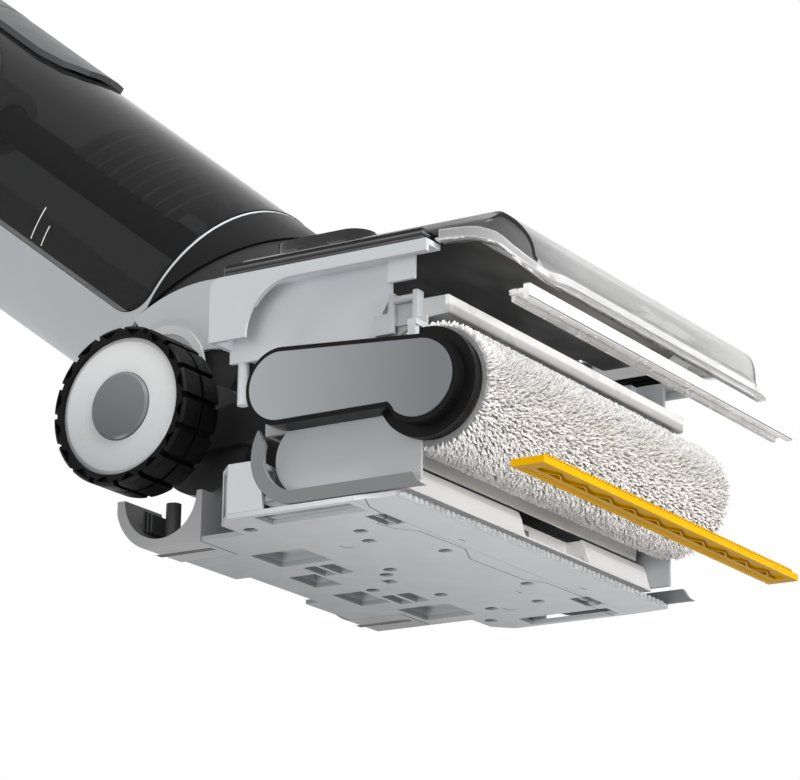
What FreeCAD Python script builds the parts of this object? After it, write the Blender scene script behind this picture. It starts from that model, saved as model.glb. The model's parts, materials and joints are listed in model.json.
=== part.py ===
import FreeCAD, Part
import math
import os
import re

import Sketcher
from FreeCAD import Placement, Rotation, Vector

# Wet and dry floor scrubber, shown opened for cleaning.
# Frame: +Z up, -Y to the front (roller side), +X to the machine's left. Origin on the underside
# of the base plate, midway across. Millimetres. "near" is the -X side, which carries the drive arm.
# Four groups stand apart: the top cover is lifted, the base is lowered, and the clear scraper and
# the hair comb are pulled forward. Each has the travel back to its seat.

doc = FreeCAD.newDocument("floor_scrubber")

SIZES = {
    # floor head
    "head_width": 258.0,        # over the side trims
    "skin": 2.5,                # moulded wall
    "fit_gap": 0.3,             # between pieces that move apart
    "roller_y": -56.9,
    "roller_z": 50.4,
    "roller_radius": 30.0,      # over the pile
    "core_radius": 21.0,
    "core_wall": 3.0,
    "roller_inset": 14.3,       # end of the pile, in from the side
    "ring_radius": 25.0,        # black ring at the driven end
    "ring_width": 4.4,
    "motor_radius": 15.0,
    "motor_length": 96.0,
    "spigot_radius": 8.0,
    "chassis_inset": 18.0,
    "chassis_top": 92.5,
    "chassis_rear": 34.0,
    "chassis_floor": 40.8,
    "liner_radius": 33.5,       # roller chamber
    "liner_foot": 38.9,
    "lip_front": 60.0,          # lip ahead of the frame's zero line
    "lip_bottom": 84.0,
    # drive arm
    "arm_inset": 11.5,          # its inner face, in from the side
    "arm_rear_y": 15.2,
    "arm_rear_z": 57.4,
    "arm_rear_radius": 18.0,
    "lobe_radius": 19.8,
    "arm_knee_y": -42.0,        # where the lower edge drops to the lobe
    "arm_rim": 2.3,
    "lobe_inset": 7.4,          # where the arm stands clear of the roller ring
    "arm_cover_depth": 2.8,
    "bracket_front": -49.0,
    "bracket_rear": -34.0,
    "bracket_top": 95.5,
    # wheels and tilt axle
    "axle_y": 103.6,
    "axle_z": 61.1,
    "axle_radius": 3.0,
    "wheel_radius": 37.8,
    "wheel_width": 27.0,
    "disc_radius": 32.6,
    "cap_radius": 16.0,
    "tread_depth": 2.6,
    "tread_blocks": 16,
    "carrier_inner": 64.0,
    "carrier_width": 6.0,
    # neck
    "neck_half": 62.0,
    "neck_wall": 2.5,
    "hood_radius": 80.0,
    "cheek_radius": 45.0,
    "barrel_radius": 27.0,
    "collar_y": 127.5,
    "collar_z": 97.0,
    "collar_radius": 24.0,
    "collar_bore": 20.0,
    # reclined body: its own frame has Z up the body and the axle behind and below its origin
    "recline": 37.3,            # degrees above level
    "body_rise": 57.3,          # body axis above the wheel axle
    "body_radius": 60.6,        # at the body's origin
    "body_draft": 0.022,        # growth of the radius up the body
    "joint_rise": 34.8,         # swivel plane on the body axis
    "joint_slope": 0.41,        # rise of the swivel plane towards the back
    "split_y": 20.6,            # tank in front, housing behind
    "tank_rise": 40.6,          # tank's underside
    "tank_top": 318.0,
    "tank_wall": 2.2,
    "tank_corner": 18.0,        # its heel, above the neck
    "tank_bead": 1.4,
    "lid_top": 333.4,
    "house_wall": 3.0,
    "house_shoulder": 545.0,
    "house_cone": 40.0,
    "neck_top_radius": 21.0,
    "clean_bottom": 345.0,
    "clean_drop": 25.0,         # top of the clean tank and the window below the shoulder
    "window_height": 50.0,
    "clean_split": 26.0,
    "tongue_bottom": 193.0,
    "tongue_width": 57.0,
    "tongue_depth": 3.0,
    "tube_radius": 14.0,
    "tube_wall": 1.6,
    "tube_top": 900.0,
    "grip_radius": 17.0,
    "grip_bend": 120.0,
    "grip_turn": 42.0,          # degrees
    "button_radius": 7.0,
    # top cover, lifted
    "cover_lift": 24.0,
    "frame_foot": 83.0,
    "frame_rear": 54.0,
    "frame_rail": 107.0,
    "rail_top": 113.4,
    "arch_y": 9.3,
    "arch_radius": 24.8,
    "frame_front": -61.0,
    "frame_corner": 5.0,
    "window_front": -33.4,      # front edge of the recessed wall
    "notch_half": 74.0,
    "notch_front": 22.0,
    "dome_top": 126.0,
    "dome_inset": 10.0,
    "dome_front": -104.0,
    "dome_rear": 47.0,
    "dome_corner": 24.0,
    "dome_crown": 8.0,
    "cover_wall": 2.2,
    "cover_corner": 28.0,       # front corners seen from above
    "rim_front": -112.0,
    "rim_low": 91.0,
    "release_x": 101.0,
    "release_y": 9.0,
    "release_length": 50.0,
    "release_width": 20.0,
    "release_height": 6.5,
    # clear scraper, pulled forward
    "scraper_front": -113.0,
    "scraper_depth": 10.0,
    "scraper_bottom": 77.5,
    "scraper_height": 6.5,
    # base, lowered
    "base_drop": 27.0,
    "base_advance": 13.0,
    "base_top": 25.0,
    "base_inset": 1.7,          # just inside the frame's skin
    "base_rear": 51.5,
    "plate": 2.2,
    "plate_front": -44.8,
    "plate_bow": 1.0,
    "scoop_y": -69.9,           # axis of the scoop's hollow face
    "scoop_z": 20.4,
    "glide_y": -18.8,
    "cup_top": 6.3,             # roof of the underside's pockets
    "lobe_inner": 71.0,
    "lobe_outer": 100.0,
    "lobe_rear": 124.0,
    "lobe_top": 24.5,
    "cradle_y": 99.3,
    "cradle_z": 28.2,
    "cradle_radius": 20.4,
    "tail_rear": 84.0,
    "trim_y": 6.5,
    "trim_z": 26.4,
    "trim_radius": 23.6,
    "trim_band": 6.2,
    "panel_top": 40.4,
    "strip_tooth": 2.2,
    "strip_pitch": 4.4,
    "screw_radius": 3.4,
    "glide_radius": 4.6,
    "glide_half": 9.0,
    # hair comb, pulled forward
    "comb_inset": 5.2,
    "comb_front": -117.0,
    "comb_depth": 16.0,
    "comb_bottom": 5.6,
    "comb_thickness": 3.2,
    "comb_pitch": 2.6,
}

# Distances from the middle that follow the head's width.
DERIVED = {
    "roller_half": "(head_width / 2 - roller_inset)",
    "chassis_half": "(head_width / 2 - chassis_inset)",
    "arm_inner": "(head_width / 2 - arm_inset)",
    "lobe_inner_face": "(head_width / 2 - lobe_inset)",
    "dome_half": "(head_width / 2 - dome_inset)",
    "base_half": "(head_width / 2 - base_inset)",
    "comb_half": "(head_width / 2 - comb_inset)",
    "house_top": "(house_shoulder + house_cone)",
    "clean_top": "(house_shoulder - clean_drop)",
}

sheet = doc.addObject("Spreadsheet::Sheet", "Sizes")
for row, (alias, size) in enumerate(SIZES.items(), start=1):
    sheet.set(f"A{row}", alias)
    sheet.set(f"B{row}", str(size))
    sheet.setAlias(f"B{row}", alias)
doc.recompute()


def cells(text):
    """Turn size names in a formula into references to the sheet, with derived lengths written out."""
    written = re.sub(r"[a-z_]+", lambda m: DERIVED.get(m[0], m[0]), str(text))
    return re.sub(r"[a-z_]+", lambda m: "Sizes." + m[0] if m[0] in SIZES else m[0], written)


def value(text):
    """Value of a formula in size names."""
    return float(sheet.evalExpression(cells(text)))


def bind(obj, prop, text):
    obj.setExpression(prop, cells(text))


# ---------------------------------------------------------------- primitives bound to the sheet
def box(name, xs, ys, zs):
    """Box between formula pairs along X, Y and Z."""
    solid = doc.addObject("Part::Box", name)
    for side, base, (low, high) in zip(("Length", "Width", "Height"), "xyz", (xs, ys, zs)):
        bind(solid, side, f"({high}) - ({low})")
        bind(solid, f".Placement.Base.{base}", low)
    return solid


def rod(name, axis, radius, low, high, first, second):
    """Cylinder along X, Y or Z, from low to high, at the other two coordinates."""
    solid = doc.addObject("Part::Cylinder", name)
    turn = {"x": Rotation(Vector(0, 1, 0), 90), "y": Rotation(Vector(1, 0, 0), -90), "z": Rotation()}
    solid.Placement = Placement(Vector(), turn[axis])
    bind(solid, "Radius", radius)
    bind(solid, "Height", f"({high}) - ({low})")
    others = [c for c in "xyz" if c != axis]
    bind(solid, f".Placement.Base.{axis}", low)
    bind(solid, f".Placement.Base.{others[0]}", first)
    bind(solid, f".Placement.Base.{others[1]}", second)
    return solid


def fuse(name, *solids):
    joined = doc.addObject("Part::MultiFuse", name)
    joined.Shapes = list(solids)
    joined.Refine = True
    return joined


def cut(name, base, *tools):
    result = doc.addObject("Part::Cut", name)
    result.Base = base
    result.Tool = tools[0] if len(tools) == 1 else fuse(name + "_tools", *tools)
    result.Refine = True
    return result


def common(name, first, second):
    result = doc.addObject("Part::Common", name)
    result.Base = first
    result.Tool = second
    result.Refine = True
    return result


def fixed(name, shape):
    """Sub-part whose shape is computed here from the sheet's sizes."""
    feature = doc.addObject("Part::Feature", name)
    feature.Shape = shape
    return feature


# ---------------------------------------------------------------- bodies from constrained sketches
def sketch(body, role, corners, offset="0"):
    """Closed outline on an origin plane. A corner is (x, y) or (x, y, radius): the radius makes the
    edge to the next corner an arc, counter-clockwise if positive."""
    drawing = body.newObject("Sketcher::SketchObject", "Outline")
    plane = next(f for f in body.Origin.OriginFeatures if f.Role == role)
    drawing.AttachmentSupport = [(plane, "")]
    drawing.MapMode = "FlatFace"
    bind(drawing, ".AttachmentOffset.Base.z", offset)
    points = [Vector(value(c[0]), value(c[1]), 0) for c in corners]
    count = len(corners)
    for i, corner in enumerate(corners):
        start, end = points[i], points[(i + 1) % count]
        if len(corner) == 2:
            drawing.addGeometry(Part.LineSegment(start, end), False)
        else:
            drawing.addGeometry(arc_between(start, end, value(corner[2])), False)
    flipped = [len(c) == 3 and value(c[2]) < 0 for c in corners]
    for i in range(count):
        after = (i + 1) % count
        here = 1 if flipped[i] else 2
        there = 2 if flipped[after] else 1
        drawing.addConstraint(Sketcher.Constraint("Coincident", i, here, after, there))
    for i, corner in enumerate(corners):
        begin = 2 if flipped[i] else 1
        for kind, text, size in (("DistanceX", corner[0], points[i].x), ("DistanceY", corner[1], points[i].y)):
            number = drawing.addConstraint(Sketcher.Constraint(kind, -1, 1, i, begin, size))
            bind(drawing, f"Constraints[{number}]", text)
        if len(corner) == 3:
            number = drawing.addConstraint(Sketcher.Constraint("Radius", i, abs(value(corner[2]))))
            bind(drawing, f"Constraints[{number}]", f"abs({corner[2]})")
    return drawing


def arc_between(start, end, radius):
    """Short arc from start to end; positive radius turns counter-clockwise."""
    chord = end - start
    rise = math.sqrt(max(radius * radius - chord.Length ** 2 / 4, 0.0))
    normal = Vector(-chord.y, chord.x, 0).normalize()
    centre = (start + end) * 0.5 + normal * (rise if radius > 0 else -rise)
    first, last = (start, end) if radius > 0 else (end, start)
    angles = [math.atan2(p.y - centre.y, p.x - centre.x) for p in (first, last)]
    return Part.ArcOfCircle(Part.Circle(centre, Vector(0, 0, 1), abs(radius)), *angles)


def pad(name, role, corners, length, offset="0", midplane=False, backwards=False):
    """Body with one outline raised off an origin plane."""
    body = doc.addObject("PartDesign::Body", name)
    add_pad(body, role, corners, length, offset, midplane, backwards)
    return body


def add_pad(body, role, corners, length, offset="0", midplane=False, backwards=False):
    feature = body.newObject("PartDesign::Pad", "Pad")
    feature.Profile = sketch(body, role, corners, offset)
    bind(feature, "Length", length)
    feature.SideType = "Symmetric" if midplane else "One side"
    feature.Reversed = backwards
    doc.recompute()
    return feature


def pocket(body, role, corners, length, offset="0", midplane=False, backwards=False):
    """Pocket that must remove material."""
    before = body.Shape.Volume
    feature = body.newObject("PartDesign::Pocket", "Pocket")
    feature.Profile = sketch(body, role, corners, offset)
    bind(feature, "Length", length)
    feature.SideType = "Symmetric" if midplane else "One side"
    feature.Reversed = backwards
    doc.recompute()
    assert body.Shape.Volume < before - 0.01, body.Name + ": pocket cuts nothing"
    return feature


def fillet(body, radius, chosen):
    """Round the edges of the body's last feature that the test picks."""
    base = body.Tip
    names = [f"Edge{i}" for i, edge in enumerate(base.Shape.Edges, start=1) if chosen(edge)]
    feature = body.newObject("PartDesign::Fillet", "Fillet")
    feature.Base = (base, names)
    bind(feature, "Radius", radius)
    doc.recompute()
    return feature


def rectangle(x_low, x_high, y_low, y_high):
    return [(x_low, y_low), (x_high, y_low), (x_high, y_high), (x_low, y_high)]


def along(edge, direction):
    """True for a straight edge in this direction."""
    if edge.Curve.TypeId != "Part::GeomLine":
        return False
    return abs(abs(edge.Curve.Direction * direction) - 1) < 1e-6


# ---------------------------------------------------------------- the list of finished sub-parts
NODES = {}


def keep(obj, node):
    obj.Label = node
    NODES[node] = obj
    return obj


def lean(obj):
    """Place a sub-part that is drawn upright in the body's own frame on the reclined body."""
    base = Vector(0, value("axle_y"), value("axle_z + body_rise"))
    obj.Placement = Placement(base, Rotation(Vector(1, 0, 0), value("recline") - 90))
    return obj


X_AXIS = Vector(1, 0, 0)
Y_AXIS = Vector(0, 1, 0)
Z_AXIS = Vector(0, 0, 1)
HALF = "head_width / 2"


# ================================================================ chassis
def make_chassis():
    """Middle moulding: roller chamber roof and liner, hollow from below."""
    body = pad("Chassis", "YZ_Plane", [
        ("-lip_front", "lip_bottom"), ("-lip_front", "chassis_top"), ("chassis_rear", "chassis_top"),
        ("chassis_rear", "chassis_floor"), ("roller_y + liner_radius + skin", "chassis_floor"),
        ("roller_y + liner_radius + skin", "liner_foot"), ("roller_y + liner_radius", "liner_foot"),
        ("roller_y + liner_radius", "roller_z", "liner_radius"), ("roller_y", "roller_z + liner_radius"),
        ("roller_y - 0.5", "lip_bottom")], "2 * chassis_half", midplane=True)
    for low, high in (("-chassis_half + skin", "-26"), ("-23.5", "23.5"), ("26", "chassis_half - skin")):
        pocket(body, "XY_Plane", rectangle(low, high, "roller_y + liner_radius + 2 * skin", "chassis_rear - skin"),
               "chassis_top - chassis_floor - skin", offset="chassis_floor", backwards=True)
    fillet(body, "5", lambda e: along(e, X_AXIS) and e.CenterOfMass.z > value("chassis_top") - 0.1
           and e.CenterOfMass.y > 0)
    mouth = box("SuctionMouth", ("-12", "56"), ("roller_y + liner_radius - 1", "-12"), ("liner_foot - 1", "50.5"))
    keep(cut("ChassisWithMouth", body, mouth), "chassis")


def make_lip():
    """White bead along the front of the chamber roof."""
    body = pad("Lip", "YZ_Plane", [
        ("-lip_front - 2.6", "lip_bottom"), ("-lip_front - 0.1", "lip_bottom"),
        ("-lip_front - 0.1", "chassis_top"), ("-lip_front - 2.6", "chassis_top")],
        "2 * chassis_half", midplane=True)
    fillet(body, "1", lambda e: along(e, X_AXIS) and e.CenterOfMass.y < value("-lip_front - 2"))
    keep(body, "chamber_lip")


def arm_outline(inset):
    """Hockey-stick outline of the drive arm, in Y-Z, drawn inwards by inset."""
    rear = f"(arm_rear_radius - ({inset}))"
    lobe = f"(lobe_radius - ({inset}))"
    return [
        ("arm_rear_y", f"arm_rear_z + {rear}"),
        ("roller_y", f"roller_z + {lobe}", lobe),
        (f"roller_y - {lobe}", "roller_z", lobe),
        ("roller_y", f"roller_z - {lobe}", lobe),
        (f"roller_y + {lobe} * cos(50)", f"roller_z - {lobe} * sin(50)", f"-(9 + ({inset}))"),
        ("arm_knee_y", f"arm_rear_z - {rear}"),
        ("arm_rear_y", f"arm_rear_z - {rear}", rear),
        (f"arm_rear_y + {rear}", "arm_rear_z", rear),
    ]


def make_drive_arm():
    """Arm that carries the roller from one end: housing, seal rim and outer cover."""
    housing = pad("Arm", "YZ_Plane", arm_outline("0"), "head_width / 2 - arm_cover_depth - arm_inner",
                  offset="-head_width / 2 + arm_cover_depth")
    pocket(housing, "YZ_Plane", arm_outline("arm_rim + 1"), "2.2",
           offset="-head_width / 2 + arm_cover_depth", backwards=True)
    relief = rod("LobeRelief", "x", "ring_radius + 0.6", "-lobe_inner_face", "-arm_inner + 1", "roller_y", "roller_z")
    rim = pad("ArmRim", "YZ_Plane", arm_outline("0"), "arm_cover_depth - 0.8", offset="-head_width / 2 + 0.8")
    pocket(rim, "YZ_Plane", arm_outline("arm_rim - 0.1"), "arm_cover_depth - 0.8",
           offset="-head_width / 2 + 0.8", backwards=True)
    keep(fuse("ArmWithRim", cut("ArmHousing", housing, relief), rim), "drive_arm")
    cover = pad("ArmCover", "YZ_Plane", arm_outline("arm_rim"), "arm_cover_depth", offset="-head_width / 2")
    keep(cover, "drive_arm_cover")
    can = rod("MotorCan", "x", "motor_radius", "-roller_half + 2.4", "-lobe_inner_face + motor_length",
              "roller_y", "roller_z")
    spigot = rod("MotorSpigot", "x", "spigot_radius", "-lobe_inner_face", "-roller_half + 3", "roller_y", "roller_z")
    keep(fuse("Motor", can, spigot), "roller_motor")


def make_side_cover():
    """Plain cover in the far side window, where no arm is needed."""
    rear = "arm_rear_radius"
    body = pad("SideCover", "YZ_Plane", [
        ("arm_rear_y", f"arm_rear_z + {rear}"), ("-44", f"arm_rear_z + {rear}"),
        ("-48", f"arm_rear_z + {rear} - 4"), ("-48", f"arm_rear_z - {rear} + 4"),
        ("-44", f"arm_rear_z - {rear}"), ("arm_rear_y", f"arm_rear_z - {rear}", rear),
        (f"arm_rear_y + {rear}", "arm_rear_z", rear)], "head_width / 2 - arm_inner", offset="arm_inner")
    pocket(body, "YZ_Plane", rectangle("-45", "arm_rear_y", "arm_rear_z - 14", "arm_rear_z + 14"),
           "head_width / 2 - arm_inner - 2.5", offset="arm_inner", backwards=True)
    fillet(body, "0.8", lambda e: e.CenterOfMass.x > value("head_width / 2") - 0.01)
    keep(body, "far_side_cover")


def make_bracket(side, node):
    """Upright between the chamber roof and the arm, with two ribs and a latch pin."""
    def span(low, high):
        return (f"-({high})", f"-({low})") if side < 0 else (low, high)
    name = node.title().replace("_", "")
    ribs = span("chassis_half", "chassis_half + 5.4")
    outside = span("roller_half + 0.4", "chassis_half + 5.4")
    parts = [box(name + "Floor", span("roller_half + 0.4", "arm_inner + 7.5"), ("bracket_front - 5", "bracket_front - 0.4"),
                 ("76.2", "79")),
             box(name + "FrontLow", outside, ("bracket_front - 5", "bracket_front + 2.4"), ("77", "82.6")),
             box(name + "Front", ribs, ("bracket_front", "bracket_front + 2.4"), ("81.2", "bracket_top")),
             box(name + "Rear", ribs, ("bracket_rear - 2.4", "bracket_rear"), ("81.2", "bracket_top")),
             box(name + "Web", span("chassis_half", "chassis_half + 1.6"), ("bracket_front", "bracket_rear"),
                 ("81.2", "bracket_top - 4")),
             box(name + "Heel", span("chassis_half + 3.2", "chassis_half + 5.4"), ("bracket_rear - 2.4", "bracket_rear + 7"),
                 ("77", "86.4")),
             rod(name + "Pin", "y", "1.8", "bracket_front + 1", "bracket_rear - 1",
                 f"{side} * (chassis_half + 3.6)", "bracket_top - 3")]
    if side < 0:
        parts.append(box(name + "Foot", span("lobe_inner_face + 0.1", "arm_inner + 7.5"),
                         ("bracket_front - 4.5", "bracket_front - 0.6"), ("71.2", "77")))
    keep(fuse(name, *parts), node)


def make_axle():
    """Steel axle and the two carriers that hold it behind the chassis."""
    keep(rod("Axle", "x", "axle_radius", f"-{HALF} + 4.5", f"{HALF} - 4.5", "axle_y", "axle_z"), "axle_rod")
    arms = []
    for side in (-1, 1):
        low, high = ("-carrier_inner - carrier_width", "-carrier_inner") if side < 0 else (
            "carrier_inner", "carrier_inner + carrier_width")
        arm = pad(f"CarrierArm{side + 1}", "YZ_Plane", [
            ("chassis_rear", "57"), ("axle_y", "axle_z - 9", "9"),
            ("axle_y + 9", "axle_z", "9"), ("axle_y", "axle_z + 9"),
            ("chassis_rear", "chassis_top - 10")], "carrier_width", offset=low)
        arms.append(arm)
    beam = box("CarrierBeam", ("-carrier_inner - carrier_width", "carrier_inner + carrier_width"),
               ("chassis_rear", "chassis_rear + 4"), ("57", "chassis_top - 10"))
    bore = rod("CarrierBore", "x", "axle_radius", f"-{HALF}", HALF, "axle_y", "axle_z")
    keep(cut("Carrier", fuse("CarrierSolid", *arms, beam), bore), "axle_carrier")


# ================================================================ roller
def make_roller():
    """Cantilevered roller: tube with a hub, pile sleeve, and the ring at the driven end."""
    ring_low, ring_high = "-lobe_inner_face + 0.3", "-lobe_inner_face + 0.3 + ring_width"
    tube = rod("CoreTube", "x", "core_radius", "-roller_half", "roller_half - 8", "roller_y", "roller_z")
    hub = rod("CoreHub", "x", "spigot_radius + 2.3", ring_high, "-roller_half + 1", "roller_y", "roller_z")
    eye = rod("CoreEye", "x", "spigot_radius + 0.05", f"{ring_high} - 1", "-roller_half + 3", "roller_y", "roller_z")
    bore = rod("CoreBore", "x", "motor_radius + fit_gap", "-roller_half + 2.1", "motor_length - lobe_inner_face + 1",
               "roller_y", "roller_z")
    hollow = rod("CoreHollow", "x", "core_radius - core_wall", "motor_length - lobe_inner_face + 0.5",
                 "roller_half - 11", "roller_y", "roller_z")
    keep(cut("Core", fuse("CoreSolid", tube, hub), eye, bore, hollow), "roller_core")
    near = Vector(value("-roller_half"), value("roller_y"), value("roller_z"))
    pile = Part.makeCylinder(value("roller_radius"), value("2 * roller_half"), near, X_AXIS)
    hole = Part.makeCylinder(value("core_radius"), value("2 * roller_half - 8"), near, X_AXIS)
    far_edge = [e for e in pile.Edges if abs(e.CenterOfMass.x - value("roller_half")) < 0.1
                and e.Curve.TypeId == "Part::GeomCircle"]
    keep(fixed("Pile", pile.makeFillet(9, far_edge).cut(hole)), "roller_pile")
    ring = rod("RingOuter", "x", "ring_radius", ring_low, ring_high, "roller_y", "roller_z")
    ring_eye = rod("RingEye", "x", "spigot_radius + 0.05", f"{ring_low} - 1", f"{ring_high} + 1",
                   "roller_y", "roller_z")
    keep(cut("Ring", ring, ring_eye), "roller_end_ring")


# ================================================================ wheels
def turned(name, corners, y, z):
    """Body turned about an axis along X; corners are (x, distance from the axis)."""
    body = doc.addObject("PartDesign::Body", name)
    feature = body.newObject("PartDesign::Revolution", "Revolution")
    feature.Profile = sketch(body, "XZ_Plane", corners)
    feature.ReferenceAxis = (feature.Profile[0], ["H_Axis"])
    feature.Angle = 360
    bind(body, ".Placement.Base.y", y)
    bind(body, ".Placement.Base.z", z)
    doc.recompute()
    return body


def make_wheel(side, node):
    """Wheel disc, cap and tyre with cross grooves and face pockets; side is -1 or 1."""
    outer = f"{side} * ({HALF})"
    inner = f"{side} * ({HALF} - wheel_width)"
    step = -side
    name = node.title().replace("_", "")
    keep(turned(name + "Disc", [
        (f"{outer} + {step} * 4", "axle_radius + 0.05"), (f"{outer} + {step} * 4", "cap_radius + fit_gap"),
        (f"{outer} + {step} * 1.6", "cap_radius + fit_gap"), (f"{outer} + {step} * 1.6", "disc_radius - 2"),
        (f"{outer} + {step} * 2.4", "disc_radius"),
        (f"{inner} - {step} * 0.8", "disc_radius"), (f"{inner} - {step} * 0.8", "disc_radius - 3"),
        (f"{outer} + {step} * 7", "disc_radius - 4"), (f"{outer} + {step} * 7", "10"),
        (inner, "10"), (inner, "axle_radius + 0.05")], "axle_y", "axle_z"), node + "_disc")
    cap = turned(name + "Cap", [
        (f"{outer} + {step} * 3.8", "0"), (f"{outer} + {step} * 3.8", "cap_radius"),
        (f"{outer} + {step} * 1", "cap_radius"), (outer, "cap_radius - 1.2"),
        (outer, "0")], "axle_y", "axle_z")
    keep(cap, node + "_cap")
    width = value("wheel_width")
    start = min(value(outer), value(inner))
    centre = Vector(start, value("axle_y"), value("axle_z"))
    tyre = Part.makeCylinder(value("wheel_radius"), width, centre, X_AXIS)
    tyre = tyre.makeChamfer(1.2, [e for e in tyre.Edges if e.Curve.TypeId == "Part::GeomCircle"])
    tyre = tyre.cut(Part.makeCylinder(value("disc_radius + 0.02"), width, centre, X_AXIS))
    crown, disc = value("wheel_radius"), value("disc_radius")
    middle = Part.makeCylinder(crown + 1, 2, centre + Vector(width / 2 - 1, 0, 0), X_AXIS).cut(
        Part.makeCylinder(crown - value("tread_depth"), 2, centre + Vector(width / 2 - 1, 0, 0), X_AXIS))
    grooves = [middle]
    count = int(value("tread_blocks"))
    face = value(outer) if side < 0 else value(outer) - 2.4
    wedge = [Vector(face, -4.2, crown - 1.7), Vector(face, 4.2, crown - 1.7), Vector(face, 0.9, disc + 1),
             Vector(face, -0.9, disc + 1)]
    for number in range(count):
        groove = Part.makeBox(width, 3, 10, Vector(start, -1.5, value("wheel_radius - tread_depth")))
        slot = Part.Face(Part.makePolygon(wedge + wedge[:1])).extrude(Vector(2.4, 0, 0))
        for tool, shift in ((groove, 0.0), (slot, 0.5)):
            tool.rotate(Vector(), X_AXIS, 360.0 * (number + shift) / count)
            tool.translate(Vector(0, centre.y, centre.z))
            grooves.append(tool)
    keep(fixed(name + "Tyre", tyre.cut(grooves)), node + "_tyre")


# ================================================================ neck
def sector(radius, thickness, first, last, low, high):
    """Curved wall about the wheel axle, between two angles in degrees above the rear horizon."""
    centre = Vector(low, value("axle_y"), value("axle_z"))
    outer = Part.makeCylinder(radius, high - low, centre, X_AXIS, last - first)
    inner = Part.makeCylinder(radius - thickness, high - low, centre, X_AXIS)
    wall = outer.cut(inner)
    return wall.rotated(centre, X_AXIS, first - turn_zero())


def turn_zero():
    """Angle at which a cylinder sector about X starts, seen from the rear horizon."""
    probe = Part.makeCylinder(10, 1, Vector(), X_AXIS, 1).CenterOfMass
    return math.degrees(math.atan2(probe.z, probe.y)) - 0.5


def make_neck():
    """Tilting neck: barrel on the axle, inner arms, curved hood and the block under the swivel."""
    half = value("neck_half")
    wall = value("neck_wall")
    barrel = rod("Barrel", "x", "barrel_radius", "-neck_half", "neck_half", "axle_y", "axle_z")
    bore = rod("BarrelBore", "x", "axle_radius + 0.05", "-neck_half - 1", "neck_half + 1", "axle_y", "axle_z")
    hollow = rod("BarrelHollow", "x", "barrel_radius - 4", "-neck_half + 8", "neck_half - 8", "axle_y", "axle_z")
    keep(cut("BarrelTube", barrel, bore, hollow), "pivot_barrel")
    hood = value("hood_radius")
    cheek = value("cheek_radius")
    shell = sector(hood, wall, 57, 120, -half, half)
    sides = [sector(hood, hood - cheek, 57, 120, low, low + wall) for low in (-half, half - wall)]
    keep(fixed("Hood", shell.fuse(sides).removeSplitter()), "neck_cover")
    inside = hood - wall - 0.2
    grip = value("barrel_radius") + 0.1
    plates = [sector(inside, inside - grip, 48, 118, low, low + 4) for low in (-half + wall + 0.4, half - wall - 4.4)]
    web = sector(inside, inside - grip, 84, 89, -half + wall + 0.4, half - wall - 0.4)
    keep(fixed("NeckArms", web.fuse(plates).removeSplitter()), "neck_arms")
    block = slice_of_body(value("body_radius") - 1.1, -12.0, -0.4)
    hole = Part.makeCylinder(hood + 0.3, 300, Vector(-150, value("axle_y"), value("axle_z")), X_AXIS)
    block.Placement = body_frame()
    duct = Part.makeCylinder(15, 60, Vector(0, 0, 0), Z_AXIS)
    duct.Placement = body_frame()
    keep(fixed("NeckBlock", block.cut(hole).cut(duct)), "neck_block")
    collar = rod("Collar", "x", "collar_radius", "-neck_half - 1.8", "-neck_half - 0.1", "collar_y", "collar_z")
    eye = rod("CollarEye", "x", "collar_bore", "-neck_half - 2", "-neck_half", "collar_y", "collar_z")
    keep(cut("CollarRing", collar, eye), "hose_collar")


# ================================================================ reclined body
def body_frame():
    base = Vector(0, value("axle_y"), value("axle_z + body_rise"))
    return Placement(base, Rotation(X_AXIS, value("recline") - 90))


def radius_at(height, inset=0.0):
    return value("body_radius") + value("body_draft") * height - inset


def slope_wedge(shift, reach=200.0):
    """Everything below the swivel plane, raised by shift."""
    rise = value("joint_rise") + shift
    slope = value("joint_slope")
    corners = [Vector(-reach, -reach, rise - slope * reach), Vector(-reach, reach, rise + slope * reach),
               Vector(-reach, reach, -2 * reach), Vector(-reach, -reach, -2 * reach)]
    return Part.Face(Part.makePolygon(corners + corners[:1])).extrude(Vector(2 * reach, 0, 0))


def slice_of_body(radius, low, high):
    """Disc of the body between two planes parallel to the swivel plane."""
    drum = Part.makeCylinder(radius, 200, Vector(0, 0, -80), Z_AXIS)
    return drum.cut(slope_wedge(low)).common(slope_wedge(high))


def tapered(bottom, top, inset):
    """Round core of the body between two heights, inset from its outer face."""
    return Part.makeCone(radius_at(bottom, inset), radius_at(top, inset), top - bottom, Vector(0, 0, bottom), Z_AXIS)


def slab(y_low, y_high, z_low, z_high):
    return Part.makeBox(300, y_high - y_low, z_high - z_low, Vector(-150, y_low, z_low))


def tank_room(inset, top):
    """Side outline of the front tank, drawn inwards by inset: split face, rounded heel and underside."""
    rear = value("split_y") - 0.3 - inset
    rise = value("tank_rise") + inset
    block = Part.makeBox(300, rear + 150, top - rise, Vector(-150, -150, rise))
    heel = [e for e in block.Edges if along(e, X_AXIS) and abs(e.CenterOfMass.y - rear) < 0.01
            and e.CenterOfMass.z < top - 1]
    return block.makeFillet(value("tank_corner") - inset, heel)


def tank_form(inset, top):
    """Front tank's outline solid, inset from its outer face."""
    return tapered(-20, top, inset).common(tank_room(inset, top))


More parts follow.
